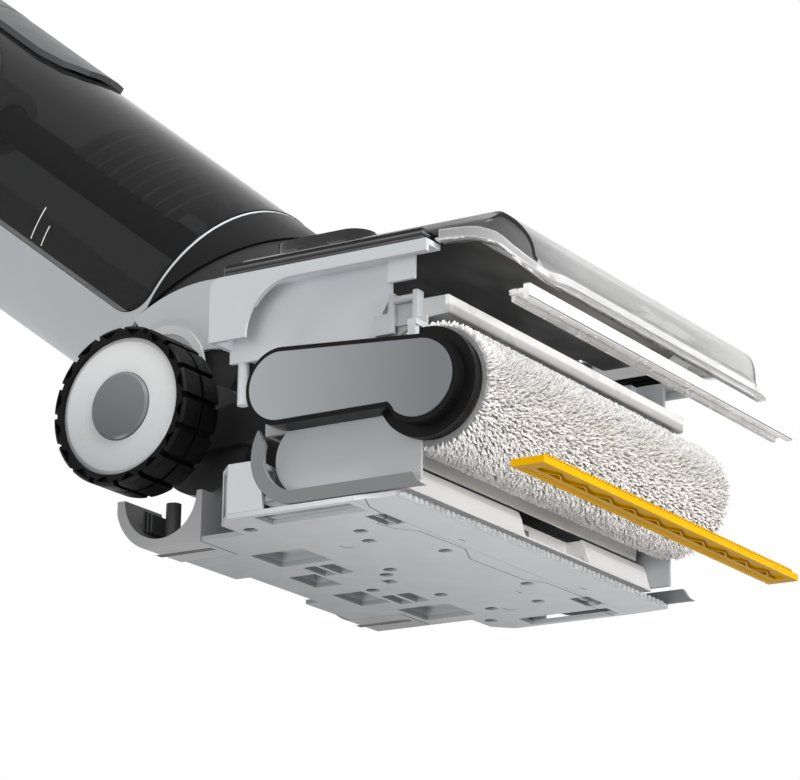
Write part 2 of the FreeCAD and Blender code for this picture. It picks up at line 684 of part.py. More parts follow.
def make_tank():
    """Dirty water tank in front: shell, lid, debris comb, stand pipe, float, handle and latch."""
    top = value("tank_top")
    wall = value("tank_wall")
    shell = tank_form(0.0, top).cut(tank_form(wall, top + 5))
    bead = tapered(-20, 80, -0.5).cut(tapered(-21, 81, 0.3)).common(tank_room(0.0, 80))
    shell = shell.fuse(bead.cut(tank_room(value("tank_bead"), 90))).removeSplitter()
    pipe_y = -18.0
    port = Part.makeCylinder(9.2, 60, Vector(0, pipe_y, 10), Z_AXIS)
    keep(lean(fixed("Tank", shell.cut(port))), "dirty_tank")
    foot = value("tank_rise") + 0.3
    pipe = Part.makeCylinder(9, top - 26 - foot, Vector(0, pipe_y, foot), Z_AXIS)
    pipe = pipe.cut(Part.makeCylinder(7.4, top, Vector(0, pipe_y, 10), Z_AXIS))
    stop = Part.makeCylinder(11.5, 1.8, Vector(0, pipe_y, 238), Z_AXIS).cut(
        Part.makeCylinder(8, 4, Vector(0, pipe_y, 237), Z_AXIS))
    keep(lean(fixed("StandPipe", pipe.fuse(stop).removeSplitter())), "tank_stand_pipe")
    lid_top = value("lid_top")
    lid = tapered(top + 0.3, lid_top, 0.0).common(slab(-150, value("split_y") - 0.3, top, lid_top))
    room = tapered(top - 1, lid_top - 3, 4.0).common(slab(-150, value("split_y") - 4, top - 2, lid_top - 3))
    vent = Part.makeCylinder(12, 10, Vector(0, -20, lid_top - 5), Z_AXIS)
    latch_room = Part.makeBox(18.6, 12, 9, Vector(-9.3, -radius_at(lid_top) - 3, lid_top - 12))
    keep(lean(fixed("TankLid", lid.cut([room, vent, latch_room]))), "tank_lid")
    comb = [Part.makeBox(4, 9, 80, Vector(-2, -radius_at(66, wall + 0.6), 64)).common(
        tapered(60, 150, wall + 0.4))]
    for number in range(9):
        height = 66 + number * 9.0
        rib = tapered(height, height + 1.8, wall + 0.4).common(slab(-150, -30, height, height + 1.8))
        comb.append(rib.cut(tapered(height - 1, height + 3, wall + 7)))
    keep(lean(fixed("TankComb", comb[0].fuse(comb[1:]).removeSplitter())), "tank_comb")
    drum = Part.makeCylinder(19, 16, Vector(0, pipe_y, 240), Z_AXIS).cut(
        Part.makeCylinder(9.08, 30, Vector(0, pipe_y, 235), Z_AXIS))
    keep(lean(fixed("Float", drum)), "tank_float")
    keep(lean(fixed("TankHandle", tank_handle())), "tank_handle")
    face = -radius_at(lid_top)
    button = Part.makeBox(18, 7, 8.4, Vector(-9, face - 1.5, lid_top - 11.7))
    button = button.makeFillet(1.2, [e for e in button.Edges if e.BoundBox.YMax < face - 1.4])
    keep(lean(fixed("TankLatch", button)), "tank_latch")


def tank_handle():
    """Tongue lying along the tank's front, rooted under the lid."""
    low, high = value("tongue_bottom"), value("tank_top - 6")
    half = value("tongue_width") / 2
    depth = value("tongue_depth")
    edge = [Vector(0, -150, low), Vector(half * 0.5, -150, low + 2), Vector(half * 0.86, -150, low + 12),
            Vector(half, -150, low + 28), Vector(half, -150, high)]
    outline = edge + [Vector(-p.x, p.y, p.z) for p in reversed(edge[1:])]
    prism = Part.Face(Part.makePolygon(outline + outline[:1])).extrude(Vector(0, 150, 0))
    tongue = tapered(low - 10, high, -0.8 - depth).cut(tapered(low - 12, high + 2, -0.8))
    root = tapered(high - 34, high, -1 - depth).cut(tapered(high - 36, high + 2, -0.2))
    return tongue.fuse(root).common(prism).removeSplitter()


def make_housing():
    """Rear and upper housing with the motor, fan, battery and display it holds."""
    wall = value("house_wall")
    shoulder, top = value("house_shoulder"), value("house_top")
    split, lid_top = value("split_y"), value("lid_top")
    neck_radius = value("neck_top_radius")
    outer = tapered(-20, shoulder, 0.0).cut(slope_wedge(0.0))
    cone = Part.makeCone(radius_at(shoulder), neck_radius, top - shoulder, Vector(0, 0, shoulder), Z_AXIS)
    outer = outer.fuse(cone).removeSplitter()
    outer = outer.cut(tank_room(-0.3, lid_top + 0.3))
    socket = Part.makeCylinder(12, 40, Vector(0, -18, 10), Z_AXIS)
    skirt = tapered(-20, 80, wall).cut(tank_room(-0.3 - wall, 200)).common(slab(-150, 0, -20, 80)).cut(socket)
    pipe_hole = Part.makeCylinder(9.4, 40, Vector(0, -18, 10), Z_AXIS)
    lower = tapered(-20, lid_top + 0.3, wall).cut(slope_wedge(wall)).common(
        slab(split + wall, 150, -100, lid_top + 0.3))
    deck = lid_top + 0.3 + wall
    upper = tapered(deck, shoulder - wall, wall)
    clean_low, clean_high, clean_y = value("clean_bottom"), value("clean_top"), value("clean_split")
    upper = upper.cut(slab(clean_y - wall, 150, clean_low - wall, clean_high + wall))
    bay = slab(clean_y, 150, clean_low, clean_high)
    bore = Part.makeCylinder(value("tube_radius") + 0.3, 100, Vector(0, 0, shoulder - 20), Z_AXIS)
    drain = Part.makeCylinder(10, 60, Vector(0, 38, 30), Z_AXIS)
    intake = Part.makeCylinder(12, 12, Vector(0, -20, lid_top - 2), Z_AXIS)
    window = display_block(-0.3, wall + 3)
    vents = [Part.makeBox(30, 26, 2.4, Vector(side * 66 - 15, -29, deck + 31.4 + 7 * number))
             for number in range(5) for side in (-1, 1)]
    keep(lean(fixed("Housing", outer.cut(
        [lower, upper, bay, bore, drain, intake, window, skirt, pipe_hole] + vents))), "main_housing")
    motor = Part.makeCylinder(36, 66, Vector(0, -20, deck + 14.4), Z_AXIS)
    shroud = Part.makeCylinder(36, 14.6, Vector(0, -20, deck), Z_AXIS).cut(
        Part.makeCylinder(33, 14.4, Vector(0, -20, deck), Z_AXIS))
    motor = motor.fuse([Part.makeCylinder(12, 10, Vector(0, -20, deck + 80.4), Z_AXIS), shroud])
    shaft_room = Part.makeCylinder(2.55, 27, Vector(0, -20, deck), Z_AXIS)
    keep(lean(fixed("SuctionMotor", motor.cut(shaft_room).removeSplitter())), "suction_motor")
    disc = Part.makeCylinder(32, 2, Vector(0, -20, deck + 4), Z_AXIS)
    hub = Part.makeCylinder(6, 8, Vector(0, -20, deck + 3.4), Z_AXIS)
    shaft = Part.makeCylinder(2.5, 16, Vector(0, -20, deck + 10), Z_AXIS)
    blades = []
    for number in range(8):
        blade = Part.makeBox(24, 1.5, 6, Vector(7, -0.75, deck + 5.5))
        blade.rotate(Vector(), Z_AXIS, 45 * number)
        blade.translate(Vector(0, -20, 0))
        blades.append(blade)
    keep(lean(fixed("Fan", disc.fuse([hub, shaft] + blades).removeSplitter())), "fan_wheel")
    cells_block = Part.makeBox(60, 60, shoulder - 30 - deck - 90.4, Vector(-30, -44, deck + 90.4))
    cells_block = cells_block.makeFillet(4, [e for e in cells_block.Edges if along(e, Z_AXIS)])
    keep(lean(fixed("Battery", cells_block)), "battery_pack")
    keep(lean(fixed("Display", display_block(0.0, wall))), "display_window")
    tank = tapered(clean_low + 0.3, clean_high - 0.3, 0.0).common(slab(clean_y + 0.3, 150, clean_low, clean_high))
    room = tapered(clean_low + 2.8, clean_high - 2.8, 2.5).common(slab(clean_y + 2.8, 150, clean_low, clean_high))
    filler = Part.makeCylinder(9, 30, Vector(0, radius_at(clean_high - 30) - 12, clean_high - 30), Y_AXIS)
    keep(lean(fixed("CleanTank", tank.cut([room, filler]))), "clean_tank")


def display_block(inset, depth):
    """Curved window in the front of the housing."""
    high = value("clean_top") - inset
    low = value("clean_top - window_height") + inset
    half = 17.0 - inset
    prism = Part.makeBox(2 * half, 150, high - low, Vector(-half, -150, low))
    prism = prism.makeFillet(7, [e for e in prism.Edges if along(e, Y_AXIS)])
    band = tapered(low - 5, high + 5, 0.0 if inset >= 0 else -5.0).cut(tapered(low - 6, high + 6, depth))
    return prism.common(band)


def make_handle():
    """Tube, its collar, the bent grip and the two thumb buttons."""
    top = value("house_top")
    radius = value("tube_radius")
    tube_top = value("tube_top")
    bottom = value("house_shoulder") + 10
    tube = Part.makeCylinder(radius, tube_top - bottom, Vector(0, 0, bottom), Z_AXIS)
    tube = tube.cut(Part.makeCylinder(radius - value("tube_wall"), tube_top, Vector(0, 0, bottom - 1), Z_AXIS))
    keep(lean(fixed("Tube", tube)), "handle_tube")
    bend, turn, grip = value("grip_bend"), value("grip_turn"), value("grip_radius")
    start = tube_top - 26
    sleeve = Part.makeCylinder(grip, 40, Vector(0, 0, start), Z_AXIS)
    arc = Part.Face(Part.Wire(Part.Circle(Vector(0, 0, start + 40), Z_AXIS, grip).toShape())).revolve(
        Vector(0, bend, start + 40), X_AXIS, -turn)
    angle = math.radians(turn)
    tip = Vector(0, bend * (1 - math.cos(angle)), start + 40 + bend * math.sin(angle))
    ahead = Vector(0, math.sin(angle), math.cos(angle))
    bar = Part.makeCylinder(grip, 78, tip, ahead)
    end = Part.makeSphere(grip, tip + ahead * 78)
    socket = Part.makeCylinder(radius + 0.1, tube_top - start + 2, Vector(0, 0, start - 1), Z_AXIS)
    solid = sleeve.fuse([arc, bar, end]).removeSplitter().cut(socket)
    up = Vector(0, -math.cos(angle), math.sin(angle))
    size = value("button_radius")
    for node, name, distance in (("power_button", "PowerButton", 20), ("mode_button", "ModeButton", 44)):
        seat = tip + ahead * distance + up * (grip - 5)
        solid = solid.cut(Part.makeCylinder(size + 0.3, 12, seat, up))
        knob = Part.makeCylinder(size, 4.4, seat + up * 1.8, up)
        knob = knob.makeFillet(0.8, [knob.Edges[0]] if knob.Edges[0].CenterOfMass.distanceToPoint(seat) > 4
                               else [e for e in knob.Edges if e.CenterOfMass.distanceToPoint(seat) > 5
                                     and e.Curve.TypeId == "Part::GeomCircle"])
        keep(lean(fixed(name, knob)), node)
    keep(lean(fixed("Grip", solid)), "grip")


# ================================================================ top cover
def both(low, high):
    """Formula pairs for the same span on the near and the far side."""
    return [(f"-({high})", f"-({low})"), (low, high)]


def make_frame():
    """Grey frame of the top cover: side skins with an arch, decks, inner walls, rear walls, bosses."""
    pieces = []
    tools = []
    skins = both(f"{HALF} - skin", HALF)
    walls = both("chassis_half + 0.5", "chassis_half + 2.5")
    decks = both("chassis_half + 0.5", HALF)
    for number, (skin, wall, deck) in enumerate(zip(skins, walls, decks)):
        side = -1 if number == 0 else 1
        tag = f"Frame{number}"
        outline = [("frame_rear", "frame_foot"), ("frame_rear", "rail_top"), ("frame_front", "rail_top"), ("frame_front", "frame_foot + arch_radius"),
                   ("arch_y", "frame_foot + arch_radius", "-arch_radius"),
                   ("arch_y + arch_radius", "frame_foot")]
        pieces.append(pad(tag + "Skin", "YZ_Plane", outline, "skin", offset=skin[0]))
        tools.append(box(tag + "Relief", both(f"{HALF} - skin - 0.1", f"{HALF} - 1.4")[number],
                         ("arch_y + arch_radius - 8", "arch_y + arch_radius + 11"),
                         ("frame_foot - 1", "frame_foot + 14")))
        pieces.append(box(tag + "Wall", wall, ("window_front", "33"), ("frame_foot - 11", "rail_top")))
        pieces.append(box(tag + "WallRear", wall, ("32", "frame_rear - 1"), ("frame_foot - 6", "rail_top")))
        tools.append(rod(tag + "RollerRoom", "x", "roller_radius + 1", wall[0] + " - 1", wall[1] + " + 1",
                         "roller_y", "roller_z + cover_lift"))
        tools.append(box(tag + "RollerPath", wall, ("roller_y", "roller_y + roller_radius + 1"),
                         ("frame_foot - 12", "roller_z + cover_lift")))
        pieces.append(box(tag + "Deck", deck, ("window_front", "frame_rear"), ("rail_top - skin", "rail_top")))
        pieces.append(box(tag + "Lip", both("chassis_half + 6", HALF)[number], ("frame_front", "window_front + 1"),
                          ("rail_top - skin", "rail_top")))
        pieces.append(box(tag + "Tab", both("chassis_half + 6", "chassis_half + 8")[number],
                          ("bracket_front + 0.2", "bracket_rear - 1"), ("frame_foot + 16.9", "rail_top")))
        pieces.append(box(tag + "Rear", both("notch_half", HALF)[number], ("frame_rear - skin", "frame_rear"),
                          ("frame_foot", "rail_top")))
        pieces.append(box(tag + "Corner", both("notch_half", HALF)[number], ("chassis_rear + 0.5", "frame_rear"),
                          ("rail_top - skin", "rail_top")))
        pieces.append(box(tag + "Notch", both("notch_half", "notch_half + skin")[number],
                          ("chassis_rear + 0.5", "frame_rear"), ("frame_foot + 4", "rail_top")))
        pieces.append(rod(tag + "Boss", "z", "2.6", "57.5", "rail_top - 1", f"{side} * (chassis_half - 1)", "47.5"))
    pieces.append(box("FrameBridge", ("-notch_half - 1", "notch_half + 1"), ("chassis_rear + 0.5", "chassis_rear + 3"),
                      ("frame_rail", "rail_top")))
    tools.append(pad("FrameCorner", "YZ_Plane", [
        ("frame_rear", "rail_top - frame_corner"), ("frame_rear + 1", "rail_top - frame_corner"),
        ("frame_rear + 1", "rail_top + 1"), ("frame_rear - frame_corner", "rail_top + 1"),
        ("frame_rear - frame_corner", "rail_top", "-frame_corner")], "head_width + 2", midplane=True))
    frame = cut("FrameShape", fuse("FrameSolid", *pieces), *tools)
    keep(frame, "upper_frame")


def cover_profile(inset):
    """Side outline of the clear cover in Y-Z, open towards the roller when inset."""
    top = f"(dome_top - {inset})"
    front = f"(dome_front + {inset})"
    rear = f"(dome_rear - {inset})"
    bend = f"(dome_corner - 2 - {inset})"
    upper = [(rear, f"{top} - 6", "6"), (rear + " - 6", top), (f"{front} + {bend}", top, bend),
             (front, f"{top} - {bend}"), (f"rim_front + 2 + {inset}", "rim_low")]
    if inset == "0":
        return [(rear, "rail_top")] + upper + [
            ("rim_front + 4.4", "rim_low"), ("-99", "99"), ("-91", "107.4"), ("-80", "112"), ("-66", "113.2"),
            ("frame_front", "rail_top")]
    return [(rear, "rim_low - 20")] + upper + [(f"rim_front + 2 + {inset}", "rim_low - 20")]


def make_cover():
    """Clear cover, its two side rails and the release buttons on top."""
    forms = []
    for name, inset in (("CoverOuter", "0"), ("CoverInner", "cover_wall")):
        side_form = pad(name, "YZ_Plane", cover_profile(inset), f"2 * (dome_half - {inset})", midplane=True)
        arched = common(name + "Arched", side_form, arch_prism(name + "Arch", inset))
        forms.append(common(name + "Rounded", arched, plan_prism(name + "Plan", inset)))
    outer, inner = forms
    holes = []
    rails = []
    for number, side in enumerate((-1, 1)):
        holes.append(stadium(f"ReleaseHole{number}", side, "release_width / 2 + fit_gap", "dome_top - 20",
                             "dome_top + 20"))
        keep(stadium(f"Release{number}", side, "release_width / 2", "dome_top - 5", "dome_top + release_height"),
             ("release_button_near", "release_button_far")[number])
        rails.append(box(f"Rail{number}", both("dome_half + 0.2", "dome_half + 7")[number],
                         ("-57", "dome_rear + 0.4"), ("rail_top + 0.1", "rail_top + 6.3")))
        rails.append(rod(f"RailEnd{number}", "z", "3.4", "rail_top + 0.1", "rail_top + 6.3",
                         f"{side} * (dome_half + 3.6)", "dome_rear + 0.1"))
        rails.append(box(f"RailRear{number}", both("notch_half + 0.3", "dome_half + 1")[number],
                         ("dome_rear + 0.2", "dome_rear + 3.5"), ("rail_top + 0.1", "rail_top + 6.3")))
        rails.append(box(f"RailNotch{number}", both("notch_half - 1.8", "notch_half - 0.1")[number],
                         ("notch_front + 0.2", "dome_rear + 3.5"), ("rail_top + 3.8", "rail_top + 6.3")))
        rails.append(box(f"RailFoot{number}", both("notch_half - 1.8", "notch_half + 2")[number],
                         ("dome_rear + 0.2", "dome_rear + 3.5"), ("rail_top + 0.1", "rail_top + 6.3")))
    rails.append(box("RailBridge", ("-notch_half + 0.2", "notch_half - 0.2"), ("notch_front + 0.2", "notch_front + 2"),
                     ("rail_top + 3.8", "rail_top + 6.3")))
    keep(fuse("Rails", *rails), "cover_rail")
    notch = box("CoverNotch", ("-notch_half", "notch_half"), ("notch_front", "dome_rear + 20"),
                ("rim_low", "dome_top + 20"))
    thick = box("CoverNotchWall", ("-notch_half - cover_wall", "notch_half + cover_wall"),
                ("notch_front - cover_wall", "dome_rear + 20"), ("rim_low - 40", "dome_top + 20"))
    roof = box("CoverRoofRoom", ("-notch_half - 10", "notch_half + 10"), ("notch_front - 5", "chassis_rear + 0.5"),
               ("rim_low", "rail_top + 3.6"))
    keep(cut("Cover", outer, cut("CoverRoom", inner, thick), notch, roof, *holes), "clear_cover")


def arch_prism(name, inset):
    """Block running front to back with rounded top edges."""
    side = f"(dome_half - {inset})"
    top = f"(dome_top - {inset})"
    corner = f"(dome_crown - {inset})"
    return pad(name, "XZ_Plane", [
        (f"-{side}", "rim_low - 30"), (side, "rim_low - 30"), (side, f"{top} - {corner}", corner),
        (f"{side} - {corner}", top), (f"-{side} + {corner}", top, corner), (f"-{side}", f"{top} - {corner}")],
        "400", midplane=True)


def plan_prism(name, inset):
    """Upright block with the cover's rounded front corners."""
    side = f"(dome_half - {inset})"
    front = f"(rim_front + 2 + {inset})"
    corner = f"(cover_corner - {inset})"
    return pad(name, "XY_Plane", [
        (f"-{side}", "dome_rear + 20"), (f"-{side}", f"{front} + {corner}", corner), (f"-{side} + {corner}", front),
        (f"{side} - {corner}", front, corner), (side, f"{front} + {corner}"), (side, "dome_rear + 20")], "200")


def stadium(name, side, radius, low, high):
    """Upright oval post on the cover's top."""
    centre = f"{side} * release_x"
    straight = "(release_length - release_width) / 2"
    ends = [rod(f"{name}End{i}", "z", radius, low, high, centre, f"release_y {sign} {straight}")
            for i, sign in enumerate("-+")]
    middle = box(f"{name}Middle", (f"{centre} - ({radius})", f"{centre} + ({radius})"),
                 (f"release_y - {straight}", f"release_y + {straight}"), (low, high))
    return fuse(name, middle, *ends)


def make_scraper():
    """Clear scraper bar with two rubber-like lips along the roller side."""
    half = HALF
    bar = box("ScraperBar", (f"-{half}", half), ("scraper_front", "scraper_front + 3"),
              ("scraper_bottom", "scraper_bottom + scraper_height"))
    shelf = box("ScraperShelf", (f"-{half}", half), ("scraper_front", "scraper_front + scraper_depth"),
                ("scraper_bottom + 2.4", "scraper_bottom + 4.6"))
    lip = box("ScraperLip", (f"-{half} + 2", f"{half} - 2"), ("scraper_front + scraper_depth - 2",
              "scraper_front + scraper_depth"), ("scraper_bottom", "scraper_bottom + 5.6"))
    keep(fuse("Scraper", bar, shelf, lip), "clear_scraper")


# ================================================================ base
SCREWS = [(-106, 44), (-80, 2), (-63, 8.5), (-30, -12), (-11, 30), (-3, 37), (45, 36), (83, 30), (106, 44),
          (80, 2), (45, -12), (21, 60)]


# Pockets in the underside, each with a cup above it: x from and to, y from and to.
CUPS = (("-66", "-40", "43", "72"), ("62", "90", "43", "72"), ("-21", "3", "66", "81"), ("20", "47", "66", "83"),
        ("-34", "-15", "47", "55"), ("-34", "-15", "57", "64"), ("34", "53", "47", "55"), ("34", "53", "57", "64"),
        ("6", "13", "40", "46"))


def make_base():
    """Lowered base: underside plates, tray with side panels, scoop, cradles, trims, strip, rollers."""
    half = "base_half"
    outline = [("-base_half", "-24"), ("base_half", "-24"), ("base_half", "base_rear - 9"),
               ("base_half - 9", "base_rear"), ("lobe_outer", "base_rear"), ("lobe_outer", "cradle_y - 24"),
               ("lobe_inner - 0.3", "cradle_y - 24"), ("lobe_inner - 0.3", "tail_rear + 21"),
               ("30", "tail_rear + 21"), ("30", "tail_rear + 13"), ("-30", "tail_rear + 13"),
               ("-30", "tail_rear + 21"), ("-lobe_inner + 0.3", "tail_rear + 21"),
               ("-lobe_inner + 0.3", "cradle_y - 24"), ("-lobe_outer", "cradle_y - 24"),
               ("-lobe_outer", "base_rear"), ("-base_half + 9", "base_rear"), ("-base_half", "base_rear - 9")]
    plate = pad("BasePlate", "XY_Plane", outline, "plate")
    for x_low, x_high, y_low, y_high in CUPS + (
            ("-base_half + 3.5", "-base_half + 18.3", "-20", "30"), ("base_half - 18.3", "base_half - 3.5", "-20", "30")):
        pocket(plate, "XY_Plane", rectangle(x_low, x_high, y_low, y_high), "plate + 1", offset="-0.5", backwards=True)
    for middle in ("-92", "92"):
        pocket(plate, "XY_Plane", rectangle(f"{middle} - glide_half - 0.6", f"{middle} + glide_half + 0.6",
                                            "glide_y - glide_radius - 0.4", "glide_y + glide_radius + 0.4"),
               "plate + 1", offset="-0.5", backwards=True)
    holes = [rod(f"ScrewHole{i}", "z", "screw_radius", "-1", "plate + 1", str(x), str(y))
             for i, (x, y) in enumerate(SCREWS)]
    keep(cut("BasePlateShape", plate, *holes), "base_plate")
    front = pad("FrontPlate", "XY_Plane", [
        ("-base_half + 2", "plate_front"), ("-base_half / 2", "plate_front - 0.7 * plate_bow"),
        ("0", "plate_front - plate_bow"), ("base_half / 2", "plate_front - 0.7 * plate_bow"),
        ("base_half - 2", "plate_front"), ("base_half", "-24.2"),
        ("-base_half", "-24.2")], "plate")
    keep(front, "front_plate")
    make_tray()
    make_scoop()
    make_strip()
    screws = []
    for x, y in SCREWS:
        head = Part.makeCylinder(value("screw_radius") - 0.4, 1.2, Vector(x, y, value("plate") - 1.2), Z_AXIS)
        screws.append(head.cut(Part.makeBox(3.4, 0.8, 0.6, Vector(x - 1.7, y - 0.4, value("plate") - 1.2))))
    keep(fixed("Screws", Part.makeCompound(screws)), "base_screws")
    for number, side in enumerate((-1, 1)):
        middle = f"{side} * 92"
        drum = rod(f"Glide{number}", "x", "glide_radius", f"{middle} - glide_half", f"{middle} + glide_half",
                   "glide_y", "glide_radius + 0.1")
        keep(drum, ("support_roller_near", "support_roller_far")[number])


def make_tray():
    """Floor, rear block, side walls and the recessed side panels."""
    half = "base_half"
    low = "plate + 0.1"
    inside = (f"-({half} - 14.3)", f"{half} - 14.3")
    pieces = [box("TrayFloor", inside, ("-23.8", "base_rear"), (low, low + " + 2")),
              box("TrayTail", ("-lobe_inner + 0.5", "lobe_inner - 0.5"), ("base_rear - 1", "tail_rear + 12"),
                  (low, low + " + 1.1")),
              box("TrayDeck", (f"-{half}", half), ("26.8", "base_rear"), ("base_top - 2.4", "base_top")),
              box("TrayRear", (f"-{half}", half), ("base_rear - 2.5", "base_rear"), (low, "base_top")),
              box("TrayStep", inside, ("26.8", "29.2"), (low, "base_top"))]
    tools = []
    for number, (x_low, x_high, y_low, y_high) in enumerate(CUPS):
        pieces.append(box(f"Cup{number}", (x_low + " - 1.2", x_high + " + 1.2"), (y_low + " - 1.2", y_high + " + 1.2"),
                          (low, "cup_top + 1.2")))
        tools.append(box(f"CupRoom{number}", (x_low, x_high), (y_low, y_high), (low + " - 1", "cup_top")))
    for number, side in enumerate((-1, 1)):
        pieces += [
            box(f"TraySide{number}", both(f"{half} - 2.5", half)[number], ("24", "base_rear"), (low, "base_top")),
            pad(f"TrayPanel{number}", "YZ_Plane", [
                ("-52", "8.8"), ("trim_y", "8.8", "trim_z - 8.8"),
                ("trim_y + sqrt((trim_z - 8.8) * (trim_z - 8.8) - (panel_top - trim_z) * (panel_top - trim_z))",
                 "panel_top"), ("-49.6", "panel_top"), ("-52", "panel_top - 4.9")], "1.6",
                offset=both(f"{half} - 12.3", f"{half} - 10.7")[number][0]),
            box(f"TrayShelf{number}", both(f"{half} - 15.3", f"{half} - 2.9")[number], ("-23.8", "27"), ("6.4", "8.9")),
            box(f"TrayFoot{number}", both(f"{half} - 16.3", f"{half} - 14.3")[number], ("-23.8", "28"), (low, "8.9"))]
        tools += [
            rod(f"TrayTrimRoom{number}", "x", "trim_radius + 0.2", *both(f"{half} - 2.9", f"{half} + 1")[number],
                "trim_y", "trim_z"),
            box(f"TrayGlideRoom{number}", both("92 - glide_half - 0.6", "92 + glide_half + 0.6")[number],
                ("glide_y - glide_radius - 0.4", "glide_y + glide_radius + 0.4"), ("0", "base_top")),
            box(f"TrayBossSlot{number}", both("chassis_half - 4", "chassis_half + 2")[number], ("31.4", "46.6"),
                ("4.6", "base_top + 1")),
            pad(f"TrayCorner{number}", "XY_Plane", [
                (f"{side} * ({half} - 9.3)", "base_rear + 0.1"), (f"{side} * ({half} + 0.1)", "base_rear - 9.3"),
                (f"{side} * ({half} + 0.1)", "base_rear + 0.1")], "60")]
        cradle_low = "lobe_inner" if side > 0 else "-lobe_outer"
        cradle = pad(f"Cradle{number}", "YZ_Plane", [
            ("cradle_y - 23.3", "0"), ("cradle_y + 8", "0", "26"), ("lobe_rear", "lobe_top - 6"),
            ("lobe_rear", "lobe_top"), ("cradle_y + cradle_radius", "lobe_top", "-cradle_radius"),
            ("cradle_y - cradle_radius", "lobe_top"), ("cradle_y - 23.3", "lobe_top")],
            "lobe_outer - lobe_inner", offset=cradle_low)
        keep(cradle, ("cradle_near", "cradle_far")[number])
        make_trim(number)
    keep(cut("Tray", fuse("TraySolid", *pieces), *tools), "base_tray")


def make_trim(number):
    """J-shaped band that wraps under and behind the arm when the base is closed."""
    inner = "(trim_radius - trim_band)"
    low = both("base_half - 2.7", "base_half")[number][0]
    band = pad(f"Trim{number}", "YZ_Plane", [
        ("-60", "trim_z - trim_radius"), ("trim_y", "trim_z - trim_radius", "trim_radius"),
        ("trim_y + trim_radius", "trim_z", "trim_radius"),
        ("trim_y + trim_radius * cos(34)", "trim_z + trim_radius * sin(34)"),
        (f"trim_y + {inner} * cos(34)", f"trim_z + {inner} * sin(34)", f"-{inner}"),
        (f"trim_y + {inner}", "trim_z", f"-{inner}"), ("trim_y", f"trim_z - {inner}"),
        ("-54.2", f"trim_z - {inner}"), ("-57", "4.5")], "2.7", offset=low)
    room = path_room(f"TrimRoom{number}", "arm_rear_radius + 0.35", "arm_rear_y", "arm_rear_z", low, f"{low} + 3")
    keep(cut(f"TrimShape{number}", band, *room), ("side_trim_near", "side_trim_far")[number])


def path_room(name, radius, y, z, low, high):
    """Room that a round piece at (y, z) takes up, seen from the base, while the base closes."""
    run = "sqrt(base_advance * base_advance + base_drop * base_drop)"
    across, up = f"({radius}) * base_drop / {run}", f"({radius}) * base_advance / {run}"
    end_y, end_z = f"{y} - base_advance", f"{z} - base_drop"
    band = pad(name + "Band", "YZ_Plane", [
        (f"{y} - {across}", f"{z} + {up}"), (f"{end_y} - {across}", f"{end_z} + {up}"),
        (f"{end_y} + {across}", f"{end_z} - {up}"), (f"{y} + {across}", f"{z} - {up}")],
        f"({high}) - ({low})", offset=low)
    return [band, rod(name + "Start", "x", radius, low, high, y, z), rod(name + "End", "x", radius, low, high, end_y, end_z)]


def make_scoop():
    """White wall behind the roller with the suction recess and the shelf over the comb slot."""
    half = value("roller_half") - 0.1
    centre = Vector(-half, value("scoop_y"), value("scoop_z"))
    radius = value("roller_radius") + 0.6
    bottom, top = 7.0, 20.0
    outer = Part.makeCylinder(radius + 2.2, 2 * half, centre, X_AXIS)
    wall = outer.cut(Part.makeCylinder(radius, 2 * half, centre, X_AXIS))
    wall = wall.common(Part.makeBox(2 * half, 40, top - bottom, Vector(-half, centre.y + 10, bottom)))
    shelf = Part.makeBox(2 * half, 21, 1.2, Vector(-half, -45, bottom)).cut(
        Part.makeCylinder(radius, 2 * half, centre, X_AXIS))
    foot = Part.makeBox(2 * half - 8, 1.4, 6, Vector(4 - half, -25.4, value("plate") + 0.1))
    recess = Part.makeBox(60, 14, 14, Vector(-8, -43, bottom + 1.2))
    solid = wall.fuse([shelf, foot]).removeSplitter().cut(recess)
    back = Part.makeBox(63, 1.5, 12, Vector(-9.5, -29.5, bottom + 0.5))
    cheeks = [Part.makeBox(1.5, 9, 12, Vector(x, -38, bottom + 0.5)) for x in (-9.5, 52)]
    hole = Part.makeBox(18, 4, 8.5, Vector(-2, -31, bottom + 1.6))
    solid = fixed("ScoopSolid", solid.fuse([back] + cheeks).removeSplitter().cut(hole))
    room = path_room("ScoopRoom", "roller_radius + 0.4", "roller_y", "roller_z", f"-({HALF})", HALF)
    keep(cut("Scoop", solid, *room), "suction_scoop")


def make_strip():
    """Clear strip along the plate's front edge, its upper side toothed."""
    front = value("plate_front")
    bow = value("plate_bow")
    far, middle = value("base_half") - 2, value("base_half") / 2
    ends = [(-far, 0.0), (-middle, -0.7 * bow), (0.0, -bow), (middle, -0.7 * bow), (far, 0.0)]
    top = value("plate") - 0.1
    near = [Vector(x, front + y - 0.1, 0.1) for x, y in ends]
    outer = [p + Vector(0, -1.0, 0) for p in reversed(near)]
    strip = Part.Face(Part.makePolygon(near + outer + near[:1])).extrude(Vector(0, 0, top - 0.1))
    teeth = []
    pitch = value("strip_pitch")
    for number in range(int((2 * far - 6) / pitch)):
        x = -far + 3 + number * pitch
        outside = max(0.0, abs(x) - middle) / (far - middle)
        inside = min(1.0, abs(x) / middle)
        rise = -0.7 * bow * (1 - outside) - 0.3 * bow * (1 - inside)
        teeth.append(Part.makeBox(value("strip_tooth"), 1.3, top - 0.1, Vector(x, front + rise - 2.3, 0.1)))
    keep(fixed("Strip", strip.fuse(teeth).removeSplitter()), "toothed_strip")


